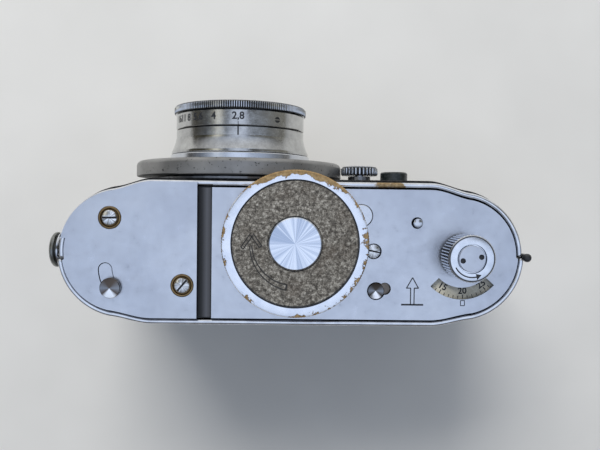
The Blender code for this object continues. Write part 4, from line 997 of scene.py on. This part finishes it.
def make_knob():
    teeth = 170
    top = KNOB_TOP
    body = lathe([(2.8, KNOB_LOW), (KNOB_RADIUS - 0.6, KNOB_LOW), (KNOB_RADIUS, KNOB_LOW + 0.6),
                  (KNOB_RADIUS, top - 0.5), (KNOB_RADIUS - 0.1, top - 0.25), (KNOB_RADIUS - 0.3, top - 0.05),
                  (KNOB_RADIUS - 0.6, top), (DISC_RADIUS + 0.32, top), (DISC_RADIUS + 0.3, top - 0.05),
                  (DISC_RADIUS + 0.3, top - 1.1), (2.8, top - 1.1)], 4 * teeth)
    mill(body, KNOB_RADIUS, 0.3, teeth, KNOB_LOW + 0.6, top - 0.5)
    finish(put(body, (KNOB[0], KNOB[1], 0)), "winding_knob_worn", "knob", "winder", "bright_chrome",
           "winding_knob")

    low, high = span("knob_grip_disc", Z_AXIS)
    disc = lathe([(2.8, low), (DISC_RADIUS, low), (DISC_RADIUS, high - 0.25), (DISC_RADIUS - 0.25, high),
                  (CAP_RADIUS + 0.35, high), (CAP_RADIUS + 0.3, high - 0.45), (2.8, high - 0.45)], 128)
    finish(put(disc, (KNOB[0], KNOB[1], 0)), "knob_insert_grained", "insert", "winder", "grip_disc",
           "knob_grip_disc")
    # A black ring set low in the narrow gap round the insert.
    gap = lathe([(DISC_RADIUS + 0.02, KNOB_TOP - 1.0), (DISC_RADIUS + 0.28, KNOB_TOP - 1.0),
                 (DISC_RADIUS + 0.28, KNOB_TOP - 0.45), (DISC_RADIUS + 0.02, KNOB_TOP - 0.45)], 128)
    finish(put(gap, (KNOB[0], KNOB[1], 0)), "dark_ring_round_insert", "wax", "winder", "grip_disc")
    make_knob_arrow(high)

    low, high = span("knob_cap", Z_AXIS)
    cap = lathe([(0, low), (CAP_RADIUS, low), (CAP_RADIUS, high - 0.22), (CAP_RADIUS - 0.25, high - 0.04),
                 (0, high)], 128)
    finish(put(cap, (KNOB[0], KNOB[1], 0)), "knob_cap_turned", "cap", "winder", "bright_chrome",
           "knob_cap")


def make_knob_arrow(face):
    """Winding arrow: a curved shaft that thins towards its head, and a two-stroke head, each
    drawn by the dark groove round it."""
    radius, start, end = 10.6, 259, 183
    count, line = 28, 0.26
    low, high = face - 0.1, face + 0.05
    pieces = []
    for side in (-1, 1):
        near, far = [], []
        for i in range(count):
            t = i / (count - 1)
            angle = math.radians(start + (end - start) * t)
            reach = radius + side * (0.66 - 0.42 * t)
            near.append(((reach - line / 2) * math.cos(angle), (reach - line / 2) * math.sin(angle)))
            far.append(((reach + line / 2) * math.cos(angle), (reach + line / 2) * math.sin(angle)))
        pieces.append(extruded(far + near[::-1], low, high))
    tail = math.radians(start)
    pieces.append(stroke((radius - 0.75) * math.cos(tail), (radius - 0.75) * math.sin(tail),
                         (radius + 0.75) * math.cos(tail), (radius + 0.75) * math.sin(tail), 0.4,
                         low, high))
    tip, wing = math.radians(168), math.radians(185)
    x, y = radius * math.cos(tip), radius * math.sin(tip)
    for reach in (-2.3, 2.1):
        wing_x, wing_y = (radius + reach) * math.cos(wing), (radius + reach) * math.sin(wing)
        ux, uy = wing_x - x, wing_y - y
        length = math.hypot(ux, uy)
        nx, ny = -uy / length * 0.36, ux / length * 0.36
        for side in (-1, 1):
            pieces.append(stroke(x + side * nx, y + side * ny, wing_x + side * nx, wing_y + side * ny,
                                 line, low, high))
        pieces.append(stroke(wing_x - nx, wing_y - ny, wing_x + nx, wing_y + ny, line, low, high))
    MATERIALS["arrow"] = black_enamel("arrow_groove", 0.6, "221f1c")
    finish(put(joined(pieces), (KNOB[0], KNOB[1], 0)), "winding_arrow", "arrow", "winder", "grip_disc")


# ---- rewind knob and counter ------------------------------------------------------------------------------
def make_rewind():
    x, y, _ = REWIND
    low, top = span("rewind_knob", Z_AXIS)
    radius = span("rewind_knob", X_AXIS)[1] - x
    teeth = 46
    knob = lathe([(1.9, low), (3.6, low), (3.6, low + 0.8), (radius - 0.3, low + 0.8),
                  (radius, low + 1.1), (radius, top - 0.4), (radius - 0.12, top - 0.25),
                  (radius - 0.3, top - 0.05), (radius - 0.5, top), (3.55, top), (3.5, top - 0.1),
                  (3.5, top - 1.0), (1.9, top - 1.0)], 4 * teeth)
    mill(knob, radius, 0.42, teeth, low + 1.1, top - 0.4)
    MATERIALS["rewind_mill"] = milled_metal("milled_rewind_knob", (x, y, 0), radius, 0.42)
    finish(put(knob, (x, y, 0)), "rewind_knob_milled", "rewind_mill", "rewind", "bright_chrome",
           "rewind_knob")
    low, high = span("rewind_insert", Z_AXIS)
    insert = lathe([(0, low), (3.2, low), (3.2, high - 0.1), (3.1, high), (0, high)], 72)
    for side in (-1, 1):
        hole = lathe([(0, high - 0.6), (0.65, high - 0.6), (0.65, high + 1), (0, high + 1)], 28)
        turn = math.radians(12)
        combine(insert, put(hole, (2.25 * side * math.cos(turn), 2.25 * side * math.sin(turn), 0)))
    finish(put(insert, (x, y, 0)), "rewind_insert_satin", "satin", "rewind", "satin_chrome",
           "rewind_insert")
    pits = [put(lathe([(0, high - 0.45), (0.6, high - 0.45), (0.6, high - 0.3), (0, high - 0.3)], 24),
                (x + 2.25 * side * math.cos(math.radians(12)),
                 y + 2.25 * side * math.sin(math.radians(12)), 0)) for side in (-1, 1)]
    finish(joined(pits), "spanner_hole_floors", "wax", "rewind", "satin_chrome")

    # Curved rewind arrow engraved between the insert and the milled edge.
    r, start, end, line = 4.4, 208, 285, 0.32
    bar = extruded(arc(0, 0, r + line / 2, start, end, 20) + arc(0, 0, r - line / 2, end, start, 20),
                   top - 0.05, top + 0.012)
    tip, base = math.radians(301), math.radians(284)
    head = extruded([(r * math.cos(tip), r * math.sin(tip)),
                     ((r + 0.75) * math.cos(base), (r + 0.75) * math.sin(base)),
                     ((r - 0.75) * math.cos(base), (r - 0.75) * math.sin(base))], top - 0.05, top + 0.012)
    finish(put(joined([bar, head]), (x, y, 0)), "rewind_arrow", "wax", "rewind", "bright_chrome")


def make_counter():
    """Counter dial with plain figures every five divisions and a tick for each frame."""
    x, y, _ = REWIND
    low, high = span("counter_dial", Z_AXIS)
    outer = span("counter_dial", X_AXIS)[1] - x
    dial = lathe([(3.3, low), (outer, low), (outer, high - 0.1), (outer - 0.1, high), (3.3, high)], 128)
    finish(put(dial, (x, y, 0)), "counter_dial_enamelled", "dial", "counter", "dial_white",
           "counter_dial")
    divisions = 55
    step = 360 / divisions
    at_index = 19.4
    marks = []
    for i in range(divisions):
        angle = math.radians(-90 + (i - at_index) * step)
        labelled = i % 5 == 0
        ux, uy = math.cos(angle), math.sin(angle)
        inner = 9.95 if labelled else 10.25
        width = 0.24 if labelled else 0.18
        marks.append(stroke(x + inner * ux, y + inner * uy, x + 10.95 * ux, y + 10.95 * uy, width,
                            high - 0.02, high + 0.02))
        if labelled:
            figure = lettering(str(i), 2.25, 0.02)
            out = (ux, uy, 0)
            along = (-uy, ux, 0)
            place_by(figure, along, (-out[0], -out[1], 0), (x + 9.05 * ux, y + 9.05 * uy, high))
            marks.append(figure)
    finish(joined(marks), "counter_figures", "wax", "counter", "dial_white")


# ---- lens --------------------------------------------------------------------------------------------------
def lens_radius(node_name):
    return (span(node_name, X_AXIS)[1] - span(node_name, X_AXIS)[0]) / 2


def place_lens_piece(piece):
    return put(piece, (LENS[0], 0, LENS[2]), "Y")


def on_lens(piece, angle, radius, y):
    """Stands a flat piece on the barrel at an angle from its top, towards +X."""
    a = math.radians(angle)
    out = (math.sin(a), 0, math.cos(a))
    place_by(piece, (math.cos(a), 0, -math.sin(a)), (0, 1, 0),
             (LENS[0] + radius * out[0], y, LENS[2] + radius * out[2]))
    return piece


def make_lens():
    bore = 16.8
    low, high = span("lens_flange", Y_AXIS)
    r = lens_radius("lens_flange")
    flange = lathe([(bore, low), (r - 0.2, low), (r, low + 0.2), (r, high - 1.3), (r - 0.12, high - 0.8),
                    (r - 0.42, high - 0.35), (r - 0.85, high - 0.08), (r - 1.3, high), (bore, high)], 192)
    finish(place_lens_piece(flange), "lens_flange_grey", "flange", "camera", "flange_grey",
           "lens_flange")
    low, high = span("lens_ring", Y_AXIS)
    r = lens_radius("lens_ring")
    high += 0.85
    ring = lathe([(bore, low - 0.2), (r, low - 0.2), (r, high - 0.2), (r - 0.2, high), (bore, high)], 160)
    finish(place_lens_piece(ring), "lens_ring_bright", "bright", "camera", "bright_chrome", "lens_ring")

    low, high = span("focus_barrel", Y_AXIS)
    low += 0.75
    r, neck = lens_radius("focus_barrel"), 18.6
    profile = [(bore, low), (r - 0.1, low), (r, low + 0.1), (r, low + 0.6)]
    step_at = high - 2.4
    for i in range(1, 13):
        t = i / 12
        y = low + 0.6 + (step_at - low - 0.6) * t
        profile.append((neck + 0.12 + (r - neck - 0.12) * (1 - t)**1.35, y))
    profile += [(neck, step_at + 0.05), (neck, high - 0.15), (neck - 0.15, high), (bore, high)]
    barrel = lathe(profile, 160)
    finish(place_lens_piece(barrel), "focus_barrel_turned", "lens", "focus", "lens_steel",
           "focus_barrel")
    index = extruded(rectangle(-0.2, 0.2, -1.2, 1.2), -0.05, 0.015)
    finish(on_lens(index, 2.4, neck, high - 1.2), "aperture_index", "wax", "focus", "lens_steel")

    low, high = span("aperture_ring", Y_AXIS)
    r = lens_radius("aperture_ring")
    band = lathe([(bore, low), (r - 0.15, low), (r, low + 0.15), (r, high - 0.15), (r - 0.15, high),
                  (bore, high)], 160)
    finish(place_lens_piece(band), "aperture_ring_turned", "lens", "aperture", "lens_steel",
           "aperture_ring")
    figures = []
    middle = (low + high) / 2
    for text, angle in (("2,8", 2.4), ("4", -18.5), ("5,6", -34), ("8", -45), ("11", -53.5), ("16", -62)):
        figures.append(on_lens(lettering(text, 2.75, 0.02), angle, r, middle + 0.3))
    tick = extruded(rectangle(-0.1, 0.1, -0.4, 0.4), -0.03, 0.02)
    figures.append(on_lens(tick, 2.4, r, low + 0.55))
    finish(joined(figures), "aperture_figures", "wax", "aperture", "lens_steel")
    screw = lathe([(0, -0.1), (0.8, -0.1), (0.8, 0.05), (0, 0.05)], 28)
    combine(screw, extruded(rectangle(-1, 1, -0.14, 0.14), -0.02, 1))
    finish(on_lens(screw, 37, r, middle - 0.2), "aperture_set_screw", "black", "aperture",
           "black_paint")

    low, high = span("lens_front_ring", Y_AXIS)
    r = lens_radius("lens_front_ring")
    teeth = 190
    front = lathe([(bore, low), (r - 0.3, low), (r, low + 0.3), (r, high - 0.4), (r - 0.35, high),
                   (17.6, high), (17.2, high - 0.3), (bore, high - 0.3)], 4 * teeth)
    mill(front, r, 0.26, teeth, low + 0.3, high - 0.4)
    MATERIALS["ring_mill"] = milled_metal("milled_front_ring", (LENS[0], 0, LENS[2]), r, 0.26, "Y",
                                          "c3c4c5")
    finish(place_lens_piece(front), "lens_front_ring_milled", "ring_mill", "aperture", "bright_chrome",
           "lens_front_ring")
    low, high = span("lens_bezel", Y_AXIS)
    steps = [(10.6, low), (16.5, low), (16.5, high), (16.1, high), (15.9, high - 0.3), (14.9, high - 0.5)]
    for i in range(6):
        inner = 14.6 - i * 0.65
        depth = high - 0.55 - i * 0.25
        steps += [(inner, depth), (inner, depth - 0.12)]
    steps += [(10.6, low + 0.5)]
    bezel = lathe(steps, 128)
    finish(place_lens_piece(bezel), "lens_bezel_stepped", "black", "focus", "black_paint",
           "lens_bezel")
    low, high = span("front_glass", Y_AXIS)
    glass = [(0, low), (10.3, low + 0.6), (10.3, high - 2.1)]
    for i in range(9):
        t = i / 8
        glass.append((10.3 * (1 - t) if i < 8 else 0, high - 2.1 + 2.1 * (1 - (1 - t)**2)))
    element = lathe([(0, low + 0.6)] + glass[1:2] + glass[2:3] + glass[4:], 96)
    finish(place_lens_piece(element), "front_glass_coated", "glass", "focus", "glass", "front_glass")


def make_front_fittings():
    x, _, z = DIAL_POST
    low, high = span("speed_dial", Y_AXIS)
    face = span("speed_hub", Y_AXIS)[1] + 0.3
    teeth = 30
    dial = lathe([(0, low), (1.2, low), (1.2, face), (4.9, face), (5.25, face + 0.3),
                  (5.25, high - 0.7), (4.75, high - 0.15), (4.4, high), (2.4, high), (2.2, high - 0.2),
                  (1.9, high - 0.2), (0, high - 0.2)], 4 * teeth)
    mill(dial, 5.25, 0.36, teeth, face + 0.3, high - 0.7)
    MATERIALS["dial_mill"] = milled_metal("milled_speed_dial", (x, 0, z), 5.25, 0.36, "Y", "b9bcc0")
    finish(put(dial, (x, 0, z), "Y"), "speed_dial_milled", "dial_mill", "speed_dial", "bright_chrome",
           "speed_dial")
    figures = []
    for i, text in enumerate(("1", "2", "5", "10", "25", "50", "100", "250")):
        angle = math.radians(90 - i * 42)
        figure = lettering(text, 1.25, 0.02)
        out = Vector((math.cos(angle), 0, math.sin(angle)))
        place_by(figure, (-out.z, 0, out.x), (out.x, 0, out.z),
                 (x + 3.4 * out.x, high + 0.01, z + 3.4 * out.z))
        figures.append(figure)
    finish(joined(figures), "speed_figures", "wax", "speed_dial", "bright_chrome")

    x, _, z = SOCKET
    low, high = span("sync_socket", Y_AXIS)
    socket = lathe([(0, low), (3.7, low), (3.875, low + 0.2), (3.875, high - 0.35), (3.5, high),
                    (2.6, high), (2.3, high - 0.25), (2.3, low + 0.8), (0, low + 0.8)], 72)
    finish(put(socket, (x, 0, z), "Y"), "sync_socket_black", "socket", "camera", "black_paint",
           "sync_socket")


# ---- inner works keep their solids and get real finishes --------------------------------------------------
INNER_FINISH = {
    "steel": "steel", "brass": "brass", "black_paint": "black", "black_leather": "leather",
    "casting": "cast", "film_can": "tin", "glass": "glass", "bright_chrome": "bright",
    "satin_chrome": "satin", "grip_disc": "insert", "dial_white": "dial", "flange_grey": "flange",
    "lens_steel": "lens",
}


def finish_inner_works():
    slots = {part["node"]: part["material_slot"] for part in frame["record"]["subparts"]}
    for name, piece in frame["nodes"].items():
        chosen = MATERIALS[INNER_FINISH[slots[name]]]
        if not piece.material_slots:
            piece.data.materials.append(chosen)
        for place in piece.material_slots:
            place.material = chosen


# ---- floor, light and camera --------------------------------------------------------------------------------
def make_floor():
    clear_selection()
    bpy.ops.mesh.primitive_plane_add(size=3.0, location=(0, 0, 0))
    floor = bpy.context.object
    floor.name = "floor"
    made, tree, shader = new_material("painted_table", "cfcdc8", 0.0, 0.75)
    place = coordinates(tree)
    tree.links.new(ramp(tree, noise(tree, place, 60.0, 3.0), [(0.3, "cac8c3"), (0.7, "d2d0cb")]),
                   shader.inputs["Base Color"])
    floor.data.materials.append(made)


def area_light(name, location, target, size, power, tint):
    light = bpy.data.lights.new(name, "AREA")
    light.shape = "RECTANGLE"
    light.size, light.size_y = size
    light.energy = power
    light.color = tint
    lamp = bpy.data.objects.new(name, light)
    bpy.context.collection.objects.link(lamp)
    lamp.location = location
    lamp.rotation_euler = (Vector(target) - Vector(location)).to_track_quat("-Z", "Y").to_euler()
    return lamp


def make_light():
    """A window on the lens side and a darker room behind; the barrel picks up the bands."""
    world = bpy.data.worlds.new("studio")
    bpy.context.scene.world = world
    world.use_nodes = True
    tree = world.node_tree
    direction = node(tree, "ShaderNodeTexCoord").outputs["Generated"]
    parts = node(tree, "ShaderNodeSeparateXYZ", links={"Vector": direction})
    sky = ramp(tree, parts.outputs["Z"], [(0.0, "787775"), (0.15, "58585a"), (0.5, "868e9b"),
                                          (0.8, "bccbe4"), (1.0, "dce9ff")])
    behind = remap(tree, parts.outputs["Y"], -0.25, -0.8, 0.0, 0.85)
    sky = blend_colours(tree, behind, sky, "4a443d")
    ahead = remap(tree, parts.outputs["Y"], 0.45, 0.85, 0.0, 0.8)
    sky = blend_colours(tree, ahead, sky, "f4f5f6")
    across = remap(tree, parts.outputs["X"], -1.0, 1.0, 0.0, 1.0)
    bands = ramp(tree, across, [(0.0, "4b483d"), (0.09, "3a382e"), (0.16, "8d8975"), (0.195, "fffdf0"),
                                (0.25, "e9e6d8"), (0.29, "6f6f68"), (0.34, "2f2f2e"), (0.38, "aab3c2"),
                                (0.44, "dbe6fb"), (0.62, "cfdaf0"), (0.66, "4a4a46"), (0.78, "63625c"),
                                (1.0, "8a8982")])
    mask = maths(tree, "MULTIPLY", remap(tree, parts.outputs["Y"], 0.07, 0.12, 0.0, 1.0),
                 remap(tree, parts.outputs["Y"], 0.42, 0.55, 1.0, 0.0))
    sky = blend_colours(tree, mask, sky, bands)
    background = tree.nodes["Background"]
    tree.links.new(sky, background.inputs["Color"])
    background.inputs["Strength"].default_value = 1.1
    window = area_light("window", (-0.25, 0.8, 0.8), (0, 0, 0.04), (0.7, 0.5), 13.0, (1.0, 0.99, 0.97))
    window.visible_glossy = False


def make_camera():
    """Looks straight down on the base from about 160 mm, a little in front of the middle."""
    data = bpy.data.cameras.new("camera_view")
    data.lens = 38.4
    data.sensor_width = 36.0
    data.clip_start = 0.01
    view = bpy.data.objects.new("camera_view", data)
    bpy.context.collection.objects.link(view)
    eye = Vector((-0.5, 11.9, PLATE_Z + 160.0)) * MM
    target = Vector((2.0, 6.9, PLATE_Z)) * MM
    roll = math.radians(0.7)
    back = (eye - target).normalized()
    right = Vector((math.cos(roll), math.sin(roll), 0))
    right = (right - back * right.dot(back)).normalized()
    up = back.cross(right)
    turn = Matrix((right, up, back)).transposed().to_4x4()
    view.matrix_world = Matrix.Translation(eye) @ turn
    bpy.context.scene.camera = view


make_shells()
make_latch()
make_top()
make_base_plate()
make_left_cover()
make_slider()
make_fasteners()
make_gap_strip()
make_marks()
make_knob()
make_rewind()
make_counter()
make_lens()
make_front_fittings()
finish_inner_works()
make_floor()
make_light()
make_camera()
bpy.context.scene.view_settings.view_transform = "Standard"
